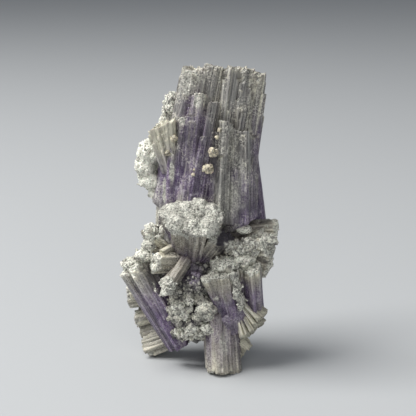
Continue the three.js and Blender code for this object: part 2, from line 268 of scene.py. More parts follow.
def flat_faces(row):
    """The eight flat faces of a prism, in its own directions. A point is inside where the product of
    each normal with it is at most that face's reach: six sides, which draw in towards the foot by the
    foot scale, then the sloping head, then the foot."""
    angles = (np.arange(PRISM_SIDES) - 0.5) * 2 * math.pi / PRISM_SIDES + row["turn"]
    uneven = [1 + CORNER_SPREAD * (2 * chance(row["seed"] * 7 + k) - 1) for k in range(PRISM_SIDES)]
    corners = np.column_stack([np.cos(angles) * row["half"][0], np.sin(angles) * row["half"][1]])
    corners = corners * np.array(uneven)[:, None]
    edges = np.roll(corners, -1, axis=0) - corners
    outward = np.column_stack([edges[:, 1], -edges[:, 0]]) / np.linalg.norm(edges, axis=1)[:, None]
    distance = (outward * corners).sum(axis=1)
    length = np.linalg.norm(row["head"] - row["foot"])
    sides = np.column_stack([outward, -distance * (1 - row["foot_scale"]) / length])
    head = [-row["slope"][0], -row["slope"][1], 1]
    rise = CAP_RISE * chance(row["seed"] * 5 + 2) * 0.6
    normals = np.vstack([sides, head, [0, 0, -1]])
    return normals, np.concatenate([distance * row["foot_scale"], [length + rise, 0]])


def leave(rows, start, way, blend):
    """Follows rays from inside a group of prisms to where each leaves the last prism that it meets.
    Distances of several prisms run into each other by blend × log(sum(exp(distance / blend))).
    Gives the distance, whether it leaves through a head, and where in the last prism's directions."""
    count = len(start)
    far, total = np.zeros(count), np.ones(count)
    headed, place, to_head = np.zeros(count, bool), np.zeros((count, 3)), np.ones(count)
    centre = np.mean([row["head"] for row in rows], axis=0)
    for row in rows:
        axes = np.array(directions(row["foot"], row["head"]))
        normals, reach = flat_faces(row)
        begin = (start - row["foot"]) @ axes.T
        ahead = way @ axes.T
        slant = ahead @ normals.T
        slant = np.where(np.abs(slant) < 1e-9, 1e-9, slant)
        meet = (reach - begin @ normals.T) / slant
        out = np.where(slant > 0, meet, np.inf)
        into = np.where(slant < 0, meet, -np.inf).max(axis=1)
        face = out.argmin(axis=1)
        out = out.min(axis=1)
        out = np.where((out > into) & (out > 0), out, 0)
        total = total + np.expm1(out / blend)
        last = (out > far)[:, None]
        spot = begin + ahead * out[:, None]
        under = reach[PRISM_SIDES] - spot @ normals[PRISM_SIDES]
        spot[:, :2] += (axes @ (row["head"] - centre))[:2]
        place = np.where(last, spot, place)
        to_head = np.where(last[:, 0], under, to_head)
        headed = np.where(last[:, 0], face == PRISM_SIDES, headed)
        far = np.maximum(far, out)
    return blend * np.log(total), headed, place, to_head


def crust_relief(points, salt=0):
    """Granular relief from about 0 to 1: broken facets of 1.5 and 0.7 mm on each other, which drop off
    at their edges."""
    coarse, coarse_gap, _ = facets(points / COARSE_GRAIN, salt)
    fine, fine_gap, _ = facets(points / FINE_GRAIN, salt + 7)
    height = 0.55 + 0.34 * coarse + 0.26 * fine
    return height - 0.16 * np.exp(-coarse_gap / 0.1) - 0.12 * np.exp(-fine_gap / 0.12)


def from_spot(place, centre, radii):
    """Distance of each place from a centre, as a share of the radii."""
    return np.linalg.norm((place - centre) / np.array(radii), axis=1)


def rays_from_axis(root, tip, reach, pitch):
    """Rays that start on the axis from root to tip, with the counts of rows and columns. The column
    is the angle round the axis. The rows begin at the root, climb with the axis at a steady slant,
    and at the end fan up to the tip. Two last rays run straight down and straight up."""
    across, deep, along = directions(root, tip)
    length = np.linalg.norm(tip - root)
    columns = max(24, int(2 * math.pi * reach / pitch))
    climb = max(length - SLANT * reach, 0.3 * length)
    side_rows = max(8, int(climb / (pitch * ROW_STRETCH)))
    cap_rows = max(5, int(0.8 * reach / pitch))
    begin = np.concatenate([[FIRST_RAY] * len(ROOT_RAYS), np.linspace(FIRST_RAY, climb, side_rows),
                            np.full(cap_rows, climb)])
    inward = np.linspace(1, 0, cap_rows + 1)[1:] * 0.98 + 0.02
    rise = np.concatenate([np.radians(ROOT_RAYS), np.full(side_rows, math.atan(SLANT)),
                           np.arctan(SLANT / inward)])
    rings = len(begin)
    angle = np.append(np.tile(np.arange(columns) * 2 * math.pi / columns, rings), [0, 0])
    begin = np.append(np.repeat(begin, columns), [FIRST_RAY, climb])
    rise = np.append(np.repeat(rise, columns), [-1.57, 1.57])
    round_axis = np.outer(np.cos(angle), across) + np.outer(np.sin(angle), deep)
    way = round_axis * np.cos(rise)[:, None] + np.outer(np.sin(rise), along)
    return root + np.outer(begin, along), way, rings, columns


def fibre_cells(fibre, seed, look):
    """The fibres of a bundle: cells of two sizes in the prism's section. Gives each place's own
    number and gap to the next cell at the large and the small size, how far its fibre stops short of
    the head, and two noises drawn out along the fibres, a fine and a slow one."""
    flat = np.column_stack([fibre[:, :2], np.zeros(len(fibre))])
    drift = np.column_stack([cloud(flat / 2.1 + seed, 41), cloud(flat / 2.1 + seed, 43), flat[:, 2]])
    warped = flat + 0.35 * drift
    _, slab_gap, slab, _ = pebbles(warped / look["slab"] + seed * 0.37, 11, flat=True)
    _, gap, own, _ = pebbles(warped / look["fibre"] + seed * 0.71, 13, flat=True)
    stopped = np.maximum(0, ((slab * 7.31) % 1 - 0.35) / 0.65) ** 1.6
    short = look["ragged"] * (stopped + 0.3 * ((own * 5.17) % 1) ** 3)
    streaks = cloud(np.column_stack([fibre[:, :2] * 2.4, fibre[:, 2] * 0.07]) + seed, 3)
    wander = cloud(np.column_stack([fibre[:, :2] * 0.4, fibre[:, 2] * 0.12]) + seed, 5)
    return slab, slab_gap, own, gap, short, streaks, wander


def crust_cover(place, headed, to_head, past, short, look):
    """How far crust covers each place of a bundle, from 0 to 1, and how frosted it is. Crust lies on
    the heads and a little way down, on ledges, in chance patches and at the look's own spots."""
    patchy = 0.5 + 0.42 * cloud(place / 5.2, 17) + 0.3 * cloud(place / 1.9, 19)
    patchy = patchy + 0.16 * cloud(place / 0.9, 21)
    from_top = np.where(headed, 0, to_head)
    crust = look["head_crust"] * (1 - smooth(0.1, look["crust_down"], from_top))
    crust = crust * (0.5 + patchy) + np.maximum(0, patchy - look["bare"]) * 3.0
    crust = crust + look["ledge_crust"] * past * np.exp(-np.maximum(0, short - to_head) / 1.3)
    for centre, radii, amount in look["crusted"]:
        near = from_spot(place, centre, radii)
        crust = crust + amount * (1 - smooth(0.55, 1.15, near)) * (0.35 + patchy)
    haze = np.zeros(len(place))
    for centre, radii, amount in look["frosted"]:
        haze = np.maximum(haze, amount * (1 - smooth(0.6, 1.1, from_spot(place, centre, radii))))
    return smooth(0.4, 0.72, crust), haze * smooth(0.1, 0.8, patchy)


def grown_together(rows, root, tip, reach, look):
    """Prisms grown into one another, as one closed surface round an axis from root to tip. The point
    on each ray is where it leaves the prisms, moved in or out by the fibres. Each fibre lies in or
    out a little, stops short by its own length and so leaves a ledge, and has grooves round it.
    Crust stands on the fibres. Three zones colour it: violet, crust, and the pale rims."""
    look = {**PLAIN_LOOK, **look}
    root, tip = np.array(root, float), np.array(tip, float)
    start, way, rings, columns = rays_from_axis(root, tip, reach, look["pitch"])
    far, headed, fibre, to_head = leave(rows, start, way, look["blend"])
    place = start + way * far[:, None]
    seed = rows[0]["seed"]
    slab, slab_gap, own, gap, short, streaks, wander = fibre_cells(fibre, seed, look)
    past = np.where(headed, 0, smooth(0, 0.5, short - to_head))
    crust, haze = crust_cover(place, headed, to_head, past, short, look)
    height = crust_relief(place, 23)

    groove = look["groove"] * np.exp(-gap / 0.09) + look["seam"] * np.exp(-slab_gap / 0.05)
    relief = (slab - 0.5) * look["bulge"] + (own - 0.5) * 0.26 + 0.1 * streaks + 0.2 * wander
    side_push = relief * (1 - 0.5 * crust) - groove * (1 - crust) - look["ledge"] * past
    head_push = -np.minimum(short, 1.9) * (1 - 0.5 * crust) - 0.55 * own * (1 - crust) - 0.4 * groove
    push = np.where(headed, head_push, side_push) + crust * look["thick"] * (height - 0.25)
    points = place + way * np.maximum(push, -0.5 * far)[:, None]

    along = (tip - root) / np.linalg.norm(tip - root)
    share = np.clip((place - root) @ along / np.linalg.norm(tip - root), 0, 1)
    first, last, amount = look["violet"]
    mixed = share + 0.1 * cloud(place / 4, 29) + 0.05 * (slab - 0.5)
    violet = amount * (1 - smooth(first, last, mixed))
    for centre, radii, amount in look["violets"]:
        near = from_spot(place, centre, radii) + 0.2 * wander
        violet = np.maximum(violet, amount * (1 - smooth(0.45, 1.15, near)))

    rim = np.exp(-np.maximum(0, to_head - short) / 0.55) * (1 - past) * (short > 0.4)
    rim = np.where(headed, 0.25 + 0.5 * own, rim) * look["rim"]
    rim = rim + 0.25 * smooth(0.3, 0.5, own) * smooth(0.5, 0.9, 0.5 + 0.5 * wander)
    proud = smooth(0.45, 0.6, slab)
    rim = rim + look["edge"] * proud * np.exp(-slab_gap / 0.09) * smooth(-0.3, 0.3, streaks + wander)
    first, last, amount = look["bleach"]
    rim = rim + amount * smooth(first, last, share) * (0.6 + 0.8 * own)

    # Painted shade: darker in the grooves between fibres and between large cells, and in the low pits of the
    # crust; the cells' own numbers and the streaks add darker tone at random.
    hollow = groove / 0.4 * (1 - 0.7 * proud) - (own - 0.5) * 0.5 - 0.35 * streaks
    hollow = np.clip(hollow, -0.5, 1) * (1 - crust) + crust * np.clip(0.9 - 1.9 * height, -0.3, 1)
    # Painted shadow: at the look's dark spots the stone is darkened where deep gaps lie in shade.
    for centre, radii, amount in look["dark"]:
        near = from_spot(place, centre, radii)
        hollow = np.maximum(hollow, hollow * 0.5 + amount * (1 - smooth(0.6, 1.1, near)))
    quads, fans = shell_faces(rings, columns)
    return {
        "points": points, "quads": quads, "fans": fans, "fibre": fibre + seed * 0.13,
        "zones": np.column_stack([violet, np.maximum(crust, haze), rim]), "hollow": hollow,
        "tone": 0.5 + look["tones"] * (0.6 * slab + 0.4 * own - 0.5),
    }


def crust_surface(lumps, seed, centre=None, pitch=BALL_PITCH, rough=0.8, blend=0.55, stains=(),
                  chunk=2.6, broken=1.0, dark=1.0, holes=()):
    """Lumps of crust run together as one closed surface round a centre. Column = longitude and row =
    latitude of a ray, and its point is where the ray leaves the last of the stretched balls, with
    their distances blended as for prisms, then moved by slow swelling, by broken facets of the chunk's
    size and by granular relief."""
    lumps = [(row[:3], row[3:] * 3 if len(row) == 4 else row[3:]) for row in map(tuple, lumps)]
    centre = np.array(centre if centre is not None else lumps[0][0], float)
    size = max(np.linalg.norm(np.subtract(spot, centre)) + max(radii) for spot, radii in lumps)
    columns = max(20, int(2 * math.pi * size * 0.85 / pitch))
    rings = columns // 2
    polar = np.append(np.repeat(np.linspace(0, math.pi, rings + 2)[1:-1], columns), [0, math.pi])
    around = np.append(np.tile(np.arange(columns) * 2 * math.pi / columns, rings), [0, 0])
    way = np.column_stack([np.sin(polar) * np.cos(around), np.sin(polar) * np.sin(around), -np.cos(polar)])
    total = np.ones(len(way))
    for spot, radii in lumps:
        begin, ahead = (centre - spot) / np.array(radii), way / np.array(radii)
        a, b, c = (ahead ** 2).sum(axis=1), ahead @ begin, begin @ begin - 1
        inside = b ** 2 - a * c
        out = np.where(inside > 0, (np.sqrt(np.maximum(inside, 0)) - b) / a, 0)
        total = total + np.expm1(np.maximum(out, 0) / blend)
    far = blend * np.log(total)
    place = centre + way * far[:, None]
    swell = 0.6 * cloud(place / 3.4 + seed, 31) + 0.25 * cloud(place / 1.5 + seed, 33)
    height = crust_relief(place + 0.3 * cloud(place / 0.8, 35)[:, None], 37 + seed)
    step, crack, part = facets(place / chunk + seed * 0.31, 53)
    deep = np.minimum(1, far / 4)
    push = rough * (0.6 * swell * deep + 0.8 * (height - 0.55))
    push = push + broken * deep * (step - 0.25 * np.exp(-crack / 0.06))
    # Holes are pushed in and, through pit below, also darkened as painted shade.
    pit = np.zeros(len(place))
    for spot, radii in holes:
        pit = np.maximum(pit, 1 - smooth(0.5, 1.1, from_spot(place, spot, radii) + 0.15 * swell))
    points = place + way * np.maximum(push - 1.8 * pit, -0.6 * far)[:, None]
    quads, fans = shell_faces(rings, columns)
    count = len(points)
    violet = np.full(count, 0.1)
    for spot, radii in stains:
        violet = np.maximum(violet, 1 - smooth(0.6, 1.1, from_spot(place, spot, radii) + 0.2 * swell))
    # Painted shade: darker where the grains lie low, where the swelling sinks, in the cracks between facets
    # and in the holes; dark sets how much.
    shade = dark * (0.75 - 1.6 * height - 0.3 * swell + broken * np.exp(-crack / 0.07)) + pit
    return {
        "points": points, "quads": quads, "fans": fans, "fibre": place * 0.7,
        "zones": np.column_stack([violet, 1 - 0.9 * smooth(0.2, 0.7, violet), np.zeros(count)]),
        "hollow": np.clip(shade, -0.3, 1),
        "tone": 0.4 + 0.3 * cloud(place / 2.3, 39) + 0.25 * part,
    }


def chips(surface, count, seed, size=(0.35, 0.9), place=None, lean=0.8, pale=0.8, rise=(1.7, 3.3), dark=0.5,
          coat=0.75):
    """Small six-sided crystals stuck in a surface, every one a ring of six points, a smaller ring of
    six and a blunt point, carried from the surface along a way that leans from its normal. With a
    place, given as centre and radii, only the points inside that ball get a chip."""
    points, quads = surface["points"], surface["quads"]
    cross = np.cross(points[quads[:, 2]] - points[quads[:, 0]], points[quads[:, 3]] - points[quads[:, 1]])
    area = np.linalg.norm(cross, axis=1) + 1e-9
    middle = points[quads].mean(axis=1)
    wanted = area * (surface["hollow"][quads[:, 0]] < 0.9)
    if place is not None:
        wanted = wanted * (from_spot(middle, *place) < 1)
    ladder = np.cumsum(wanted) / wanted.sum()
    luck = scatter(np.arange(count * 8).reshape(-1, 1) * [1, 3, 7] + seed, 71).reshape(8, count)
    chosen = np.searchsorted(ladder, luck[0])
    way = cross[chosen] / area[chosen][:, None] + lean * (luck[1:4].T - 0.5) * 2
    way = way / np.linalg.norm(way, axis=1)[:, None]
    side = np.cross(way, luck[4:7].T - 0.5)
    side = side / np.linalg.norm(side, axis=1)[:, None]
    other = np.cross(way, side)
    half = (size[0] + (size[1] - size[0]) * luck[7] ** 2)[:, None, None]
    angle = np.arange(6) * math.pi / 3
    ring = np.cos(angle)[:, None] * side[:, None] + 0.75 * np.sin(angle)[:, None] * other[:, None]
    root = (middle[chosen] - way * half[:, 0] * 0.9)[:, None]
    up = way[:, None] * half * (rise[0] + (rise[1] - rise[0]) * luck[5])[:, None, None]
    made = np.concatenate([root + ring * half, root + ring * half * 0.8 + up, root + up * 1.12], axis=1)
    c = np.arange(6)
    following = (c + 1) % 6
    first = (np.arange(count) * CHIP_POINTS)[:, None, None]
    sides = first + np.column_stack([c, following, following + 6, c + 6])
    heads = first + np.column_stack([c + 6, following + 6, np.full(6, 12)])
    total = count * CHIP_POINTS
    tone = np.repeat(luck[6], CHIP_POINTS)
    tip = np.tile(np.repeat([0, 0.6, 0.8], [6, 6, 1]), count)
    return {
        "points": made.reshape(-1, 3), "quads": sides.reshape(-1, 4), "fans": heads.reshape(-1, 3),
        "fibre": made.reshape(-1, 3) * 0.7,
        "zones": np.column_stack([np.zeros(total), coat * (0.75 + 0.5 * tone), pale * tip * (0.4 + tone)]),
        # Painted shade: the foot ring is darkened by dark where the chip sinks into the surface.
        "hollow": np.tile(np.repeat([dark, -0.1, -0.2], [6, 6, 1]), count), "tone": tone, "flat": True,
    }


def joined(surfaces):
    """One surface from several: their points one after another, with faces renumbered to match."""
    counts = np.cumsum([0] + [len(s["points"]) for s in surfaces[:-1]])
    whole = {}
    for key in ("points", "fibre", "zones", "hollow", "tone"):
        whole[key] = np.concatenate([s[key] for s in surfaces])
    for key in ("quads", "fans"):
        whole[key] = np.concatenate([s[key] + start for s, start in zip(surfaces, counts)])
    whole["points"][:, 2] = np.maximum(whole["points"][:, 2], 0)
    return whole


def make_piece(name, surfaces, material, node=None):
    """Puts the surfaces into one mesh object that rides on the part and stands for its solid."""
    whole = joined(surfaces)
    mesh = bpy.data.meshes.new(name)
    quads, fans = whole["quads"], whole["fans"]
    mesh.vertices.add(len(whole["points"]))
    mesh.vertices.foreach_set("co", (whole["points"] * MM).astype(np.float32).ravel())
    mesh.loops.add(quads.size + fans.size)
    mesh.loops.foreach_set("vertex_index", np.concatenate([quads.ravel(), fans.ravel()]).astype(np.int32))
    mesh.polygons.add(len(quads) + len(fans))
    starts = np.concatenate([np.arange(len(quads)) * 4, quads.size + np.arange(len(fans)) * 3])
    mesh.polygons.foreach_set("loop_start", starts.astype(np.int32))
    flat = [np.full(len(s[key]), s.get("flat", False)) for key in ("quads", "fans") for s in surfaces]
    mesh.polygons.foreach_set("use_smooth", ~np.concatenate(flat))
    mesh.update(calc_edges=True)
    for key, kind, slot_name in (("fibre", "FLOAT_VECTOR", "vector"), ("zones", "FLOAT_VECTOR", "vector"),
                                 ("hollow", "FLOAT", "value"), ("tone", "FLOAT", "value")):
        layer = mesh.attributes.new(key, kind, "POINT")
        layer.data.foreach_set(slot_name, whole[key].astype(np.float32).ravel())
    mesh.materials.append(material)
    piece = bpy.data.objects.new(name, mesh)
    bpy.context.scene.collection.objects.link(piece)
    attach(piece, "root")
    if node:
        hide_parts(node)
    print(name, len(quads) * 2 + len(fans), "triangles")
    return piece


# ---- shader maths -----------------------------------------------------------------------------
class Wire:
    """A shader socket that takes part in sums, each of which adds a Math node."""

    def __init__(self, paint, socket):
        self.paint = paint
        self.socket = socket

    def sum(self, operation, *others, clamp=False):
        """The wire that comes out of a Math node."""
        node = self.paint.node("ShaderNodeMath", {"operation": operation, "use_clamp": clamp},
                               dict(enumerate(others)))
        return Wire(self.paint, node.outputs[0])

    def __add__(self, other):
        return self.sum("ADD", self, other)

    def __sub__(self, other):
        return self.sum("SUBTRACT", self, other)

    def __rsub__(self, other):
        return self.sum("SUBTRACT", other, self)

    def __mul__(self, other):
        return self.sum("MULTIPLY", self, other)

    __radd__ = __add__

    def held(self):
        """The same number, kept from 0 to 1."""
        return self.sum("ADD", self, 0.0, clamp=True)


class Paint:
    """A material being made."""

    def __init__(self, name):
        self.material = bpy.data.materials.new(name)
        self.material.use_nodes = True
        self.tree = self.material.node_tree
        self.tree.nodes.clear()

    def node(self, kind, settings=None, sockets=None):
        """Adds a node: its settings are set first, then its sockets get values or links."""
        node = self.tree.nodes.new(kind)
        for key, value in (settings or {}).items():
            setattr(node, key, value)
        for key, value in (sockets or {}).items():
            socket = node.inputs[key] if isinstance(key, int) else next(
                s for s in node.inputs if key in (s.identifier, s.name))
            if isinstance(value, Wire):
                self.tree.links.new(value.socket, socket)
            else:
                socket.default_value = value
        return node

    def attribute(self, name, output="Fac"):
        """A number or a vector that the piece's own points carry."""
        node = self.node("ShaderNodeAttribute", {"attribute_name": name})
        return Wire(self, node.outputs[output])

    def blend(self, share, first, second, mode="MIX"):
        """Colour first where share is 0, and second where it is 1."""
        node = self.node("ShaderNodeMix", {"data_type": "RGBA", "blend_type": mode},
                         {"Factor_Float": share, "A_Color": first, "B_Color": second})
        return Wire(self, next(o for o in node.outputs if o.identifier == "Result_Color"))

    def scaled(self, vector, scale):
        """The vector, stretched by a scale for each direction."""
        node = self.node("ShaderNodeVectorMath", {"operation": "MULTIPLY"}, {0: vector, 1: scale})
        return Wire(self, node.outputs[0])

    def noise(self, vector, scale, detail=2.0, roughness=0.55):
        """Cloudy noise, mostly from 0.3 to 0.7."""
        node = self.node("ShaderNodeTexNoise", {}, {
            "Vector": vector, "Scale": scale, "Detail": detail, "Roughness": roughness})
        return Wire(self, node.outputs[0])

    def pebbled(self, vector, scale):
        """Distance to the nearest of many scattered points."""
        node = self.node("ShaderNodeTexVoronoi", {"feature": "F1"}, {"Vector": vector, "Scale": scale})
        return Wire(self, node.outputs["Distance"])

    def spread(self, value, low, high, to_low=0.0, to_high=1.0):
        """The value's range from low to high, smoothed and taken to another range."""
        node = self.node("ShaderNodeMapRange", {"interpolation_type": "SMOOTHSTEP"}, {
            "Value": value, "From Min": low, "From Max": high, "To Min": to_low, "To Max": to_high})
        return Wire(self, node.outputs[0])


def crystal_colour(paint, sizes, beige, violet, cloudy, zones, fibre, hollow, noises):
    """Colour of bare crystal: beige or violet in wide bands, blotches where it is violet, pale and dark
    streaks along the fibres, frost, painted shade in grooves and recesses, and pale ends."""
    share, rim = zones
    thin, hair, grain, mottle, place = noises
    wide = paint.noise(paint.scaled(fibre, (0.45, 0.45, 0.03)), 1.0, 3.0)
    blotch = paint.noise(place, 520.0, 5.0, 0.7)
    body = paint.blend(paint.spread(wide, 0.38, 0.62), *beige)
    purple = paint.blend(paint.spread(mottle, 0.35, 0.65), *violet)
    body = paint.blend(share, body, purple)
    bright = paint.blend((share * 0.85).held(), sizes.streak_colour, sizes.haze_colour)
    body = paint.blend((paint.spread(blotch, 0.48, 0.4, 0.0, 0.85) * share).held(), body, violet[0])
    body = paint.blend((paint.spread(blotch, 0.55, 0.63, 0.0, 0.85) * share).held(), body, bright)
    streaks = 1 - share * 0.45
    for strands, low, high, light, shadow in ((thin, 0.53, 0.48, 0.6, 0.7), (hair, 0.54, 0.46, 0.45, 0.5)):
        pale_share = (paint.spread(strands, low, low + 0.1, 0.0, light) * streaks).held()
        body = paint.blend(pale_share, body, bright)
        dark_share = (paint.spread(strands, high, high - 0.1, 0.0, shadow) * streaks).held()
        body = paint.blend(dark_share, body, sizes.streak_and_shade_colour)
    frost = paint.spread(mottle, 0.42, 0.56) * paint.spread(grain, 0.5, 0.6) * cloudy * (1 - share * 0.5)
    body = paint.blend(frost.held(), body, sizes.rim_colour)
    # Painted shade: grooves, recesses and the look's dark spots are darkened here.
    body = paint.blend((hollow * 0.6).held(), body, sizes.streak_and_shade_colour)
    ends = rim * paint.spread(grain, 0.35, 0.55, 0.5, 1.0) * (1 - share * 0.55)
    return wide, paint.blend(ends.held(), body, sizes.tip_colour)


def crust_colour(paint, sizes, pale, pit, hollow, noises):
    """Colour of granular crust: pale grains, pits between them and painted shade in recesses."""
    grain, specks, mottle = noises
    coat = paint.blend(paint.spread(grain, 0.4, 0.52), pit, pale)
    coat = paint.blend(paint.spread(specks, 0.4, 0.2, 0.0, 0.7), coat, sizes.rim_colour)
    coat = paint.blend(paint.spread(mottle, 0.46, 0.36, 0.0, 0.5), coat, pit)
    # Painted shade: the crust's pits and recesses are darkened here.
    return paint.blend((hollow * 0.75).held(), coat, sizes.streak_and_shade_colour)


def stone(name, sizes, beige, violet, cloudy, pale, pit):
    """Aragonite: crystal and crust, shared out by the piece's own zones. The bump's height is the
    streaks where the stone is bare, and the grains where crust covers it."""
    paint = Paint(name)
    zones = paint.attribute("zones", "Vector")
    split = paint.node("ShaderNodeSeparateXYZ", {}, {0: zones})
    violet_share, crust, rim = (Wire(paint, split.outputs[i]) for i in range(3))
    fibre = paint.attribute("fibre", "Vector")
    hollow = paint.attribute("hollow")
    tone = paint.attribute("tone")
    place = Wire(paint, paint.node("ShaderNodeTexCoord").outputs["Object"])
    thin = paint.noise(paint.scaled(fibre, (1.5, 1.5, 0.11)), 1.0, 4.0, 0.7)
    hair = paint.noise(paint.scaled(fibre, (3.4, 3.4, 0.17)), 1.0, 2.0, 0.6)
    mottle = paint.noise(place, 230.0, 4.0, 0.6)
    grain = paint.noise(place, 1900.0, 3.0, 0.7)
    specks = paint.pebbled(place, 1500.0)

    share = (violet_share * paint.spread(mottle, 0.3, 0.6, 0.75, 1.2)).held()
    wide, body = crystal_colour(paint, sizes, beige, violet, cloudy, (share, rim), fibre, hollow,
                                (thin, hair, grain, mottle, place))
    coat = crust_colour(paint, sizes, pale, pit, hollow, (grain, specks, mottle))
    covered = (crust * paint.spread(grain, 0.25, 0.55, 0.75, 1.2)).held()
    colour = paint.blend(covered, body, coat)
    colour = paint.blend(1.0, colour, paint.spread(tone, 0.15, 0.85, 0.72, 1.2), "MULTIPLY")

    bare_height = (thin * 0.9 + hair * 0.5 + wide * 0.4) * (1 - crust)
    crust_height = (grain * 1.3 - specks * 0.7) * (crust * 0.8 + 0.2)
    bump = paint.node("ShaderNodeBump", {}, {
        "Height": bare_height + crust_height, "Strength": 0.8, "Distance": 0.4 * MM})
    rough = (0.32 + crust * 0.38 + paint.spread(grain, 0.3, 0.7, -0.12, 0.12)).held()
    shader = paint.node("ShaderNodeBsdfPrincipled", {}, {
        "Base Color": colour, "Roughness": rough, "Normal": Wire(paint, bump.outputs[0]),
        "IOR": 1.6, "Specular IOR Level": 0.5,
        "Subsurface Weight": 0.12, "Subsurface Radius": (0.004, 0.003, 0.0035), "Subsurface Scale": 0.3,
    })
    paint.node("ShaderNodeOutputMaterial", {}, {"Surface": Wire(paint, shader.outputs[0])})
    return paint.material


# ---- what a user may change -------------------------------------------------------------------
def colour_property(name, description, tint):
    """A colour that a user may change."""
    return bpy.props.FloatVectorProperty(
        name=name, description=description, subtype="COLOR", size=4, min=0, max=1, default=tint)


class AragoniteSettings(bpy.types.PropertyGroup):
    """Colours and sizes of the cluster"""

    beige_colour: colour_property("Beige", "Crystal towards its tip", (0.35, 0.315, 0.255, 1))
    brown_colour: colour_property("Brown", "Crystal's darker streaks", (0.15, 0.135, 0.115, 1))
    grey_colour: colour_property("Grey", "Grey crystal", (0.25, 0.245, 0.235, 1))
    umber_colour: colour_property("Umber", "Tall crystal's darker streaks", (0.105, 0.095, 0.088, 1))
    slate_colour: colour_property("Slate", "Tall crystal's paler streaks", (0.315, 0.31, 0.295, 1))
    violet_colour: colour_property("Violet", "Crystal near its root", (0.062, 0.032, 0.10, 1))
    lilac_colour: colour_property("Lilac", "Paler violet parts", (0.175, 0.12, 0.225, 1))
    tip_colour: colour_property("Tips", "Ends of the crystals", (0.57, 0.545, 0.435, 1))
    streak_colour: colour_property("Streak", "Pale streaks along the fibres", (0.50, 0.48, 0.44, 1))
    haze_colour: colour_property("Lilac streak", "Pale streaks on violet parts", (0.40, 0.355, 0.46, 1))
    rim_colour: colour_property("Rim", "Pale ends of fibres and grains", (0.87, 0.84, 0.73, 1))
    crust_colour: colour_property("Crust", "Granular crust", (0.65, 0.645, 0.575, 1))
    pit_colour: colour_property("Pit", "Pits between grains of crust", (0.22, 0.22, 0.19, 1))
    # Whitish crust, painted paler than Crust as painted light for caps and sides that face away from the
    # lamps; the colour after it is its pits, painted paler in the same way.
    lit_crust_colour: colour_property("Side crust", "Palest crust", (0.86, 0.855, 0.755, 1))
    lit_pit_colour: colour_property("Side pits", "Pits in the palest crust", (0.62, 0.63, 0.56, 1))
    cream_colour: colour_property("Cream", "Small balls on the tall crystal", (0.74, 0.66, 0.48, 1))
    # Grit and the colour after it are a darker copy of the crust colours: painted shade for the mass deep in
    # the cluster, near black in its pits.
    grit_colour: colour_property("Grit", "Crust deep in the cluster", (0.62, 0.61, 0.53, 1))
    shaded_pit_colour: colour_property("Pit shade", "Pits in that crust", (0.10, 0.10, 0.09, 1))
    # Dark streaks along the fibres, and the painted shade in grooves, pits and recesses.
    streak_and_shade_colour: colour_property("Groove", "Grooves and recesses", (0.035, 0.03, 0.04, 1))
    floor_colour: colour_property("Floor", "Floor under the cluster", (0.45, 0.464, 0.477, 1))
    camera_distance: bpy.props.FloatProperty(
        name="Camera distance", description="From the camera to the cluster's middle",
        default=0.4, unit="LENGTH")
    camera_rise: bpy.props.FloatProperty(
        name="Camera rise", description="How far the camera looks down",
        default=math.radians(12.5), unit="ROTATION")


def settings():
    """The scene's own settings for the cluster."""
    return bpy.context.scene.aragonite


def material(kind):
    """The material of that kind, made when it is first asked for."""
    name = "aragonite_" + kind
    if name not in bpy.data.materials:
        s = settings()
        warm, cool = (s.brown_colour, s.beige_colour), (s.brown_colour, s.grey_colour)
        purple, plain_violet = (s.violet_colour, s.lilac_colour), (s.violet_colour, s.violet_colour)
        # The paler crust colours stand in for light on caps and sides that lie in shade.
        clean, lit_crust = (s.crust_colour, s.pit_colour), (s.lit_crust_colour, s.pit_colour)
        palettes = {  # crystal, its violet parts, share of frost, and the crust and its pits
            "banded": ((s.umber_colour, s.slate_colour), purple, 0.7, *clean),
            "violet": (warm, purple, 0.3, *lit_crust),
            "beige": (warm, purple, 0.35, *clean),
            "capped": (cool, purple, 0.35, *lit_crust),
            "crust": (warm, purple, 0.8, *lit_crust),
            # grit: painted shade, a darker copy of the crust for the mass that lies in shade
            "grit": (cool, purple, 0.8, s.grit_colour, s.shaded_pit_colour),
            "deep": (plain_violet, plain_violet, 0.05, *clean),
            # bright: painted light, tip and rim colours as body so that the shoulder fan and the plates,
            # which get little light, read as pale as lit stone
            "bright": ((s.tip_colour, s.rim_colour), purple, 0.3, *lit_crust),
            # snow: the side crust, painted paler as painted light since it faces away from the lamps
            "snow": (warm, purple, 0.8, s.lit_crust_colour, s.lit_pit_colour),
            "cream": (warm, purple, 0.0, s.cream_colour, s.beige_colour),
        }
        stone(name, s, *palettes[kind])
    return bpy.data.materials[name]


# ---- the pieces -------------------------------------------------------------------------------
# How a bundle looks where its own look doesn't say otherwise. Lengths are in mm. A spot is a centre,
# its radii and an amount.
PLAIN_LOOK = {
    "pitch": COLUMN_PITCH,
    "blend": 0.4,  # how far neighbouring prisms run into each other
    "slab": 2.9,  # width of the large cells
    "fibre": 1.05,  # width of the small cells
    "ragged": 3.0,  # how far fibres may stop short of the head
    "bulge": 0.55,  # how far large cells lie in or out
    "groove": 0.2,  # depth between small cells
    "seam": 0.3,  # depth between large cells
    "ledge": 0.7,  # depth past a fibre's end
    "thick": 0.75,  # height of the crust's relief
    "head_crust": 0.6,
    "ledge_crust": 0.7,
    "crust_down": 2.5,  # how far crust reaches down from the head
    "bare": 0.95,  # higher leaves fewer chance patches of crust
    "violet": (0.3, 0.8, 0.8),  # shares of the length where it starts to fade and is gone, and amount
    "bleach": (0.8, 1.2, 0.2),  # shares of the length where it starts and is full, and amount
    "rim": 0.7,  # how pale fibres are at their ends
    "edge": 0.45,  # how pale proud cells are along their edges
    "tones": 1,  # how much cells differ in tone
    "violets": (),
    "crusted": (),
    "frosted": (),
    # dark: spots of painted shadow, darkened where gaps and grooves lie in deep shade
    "dark": (),
}
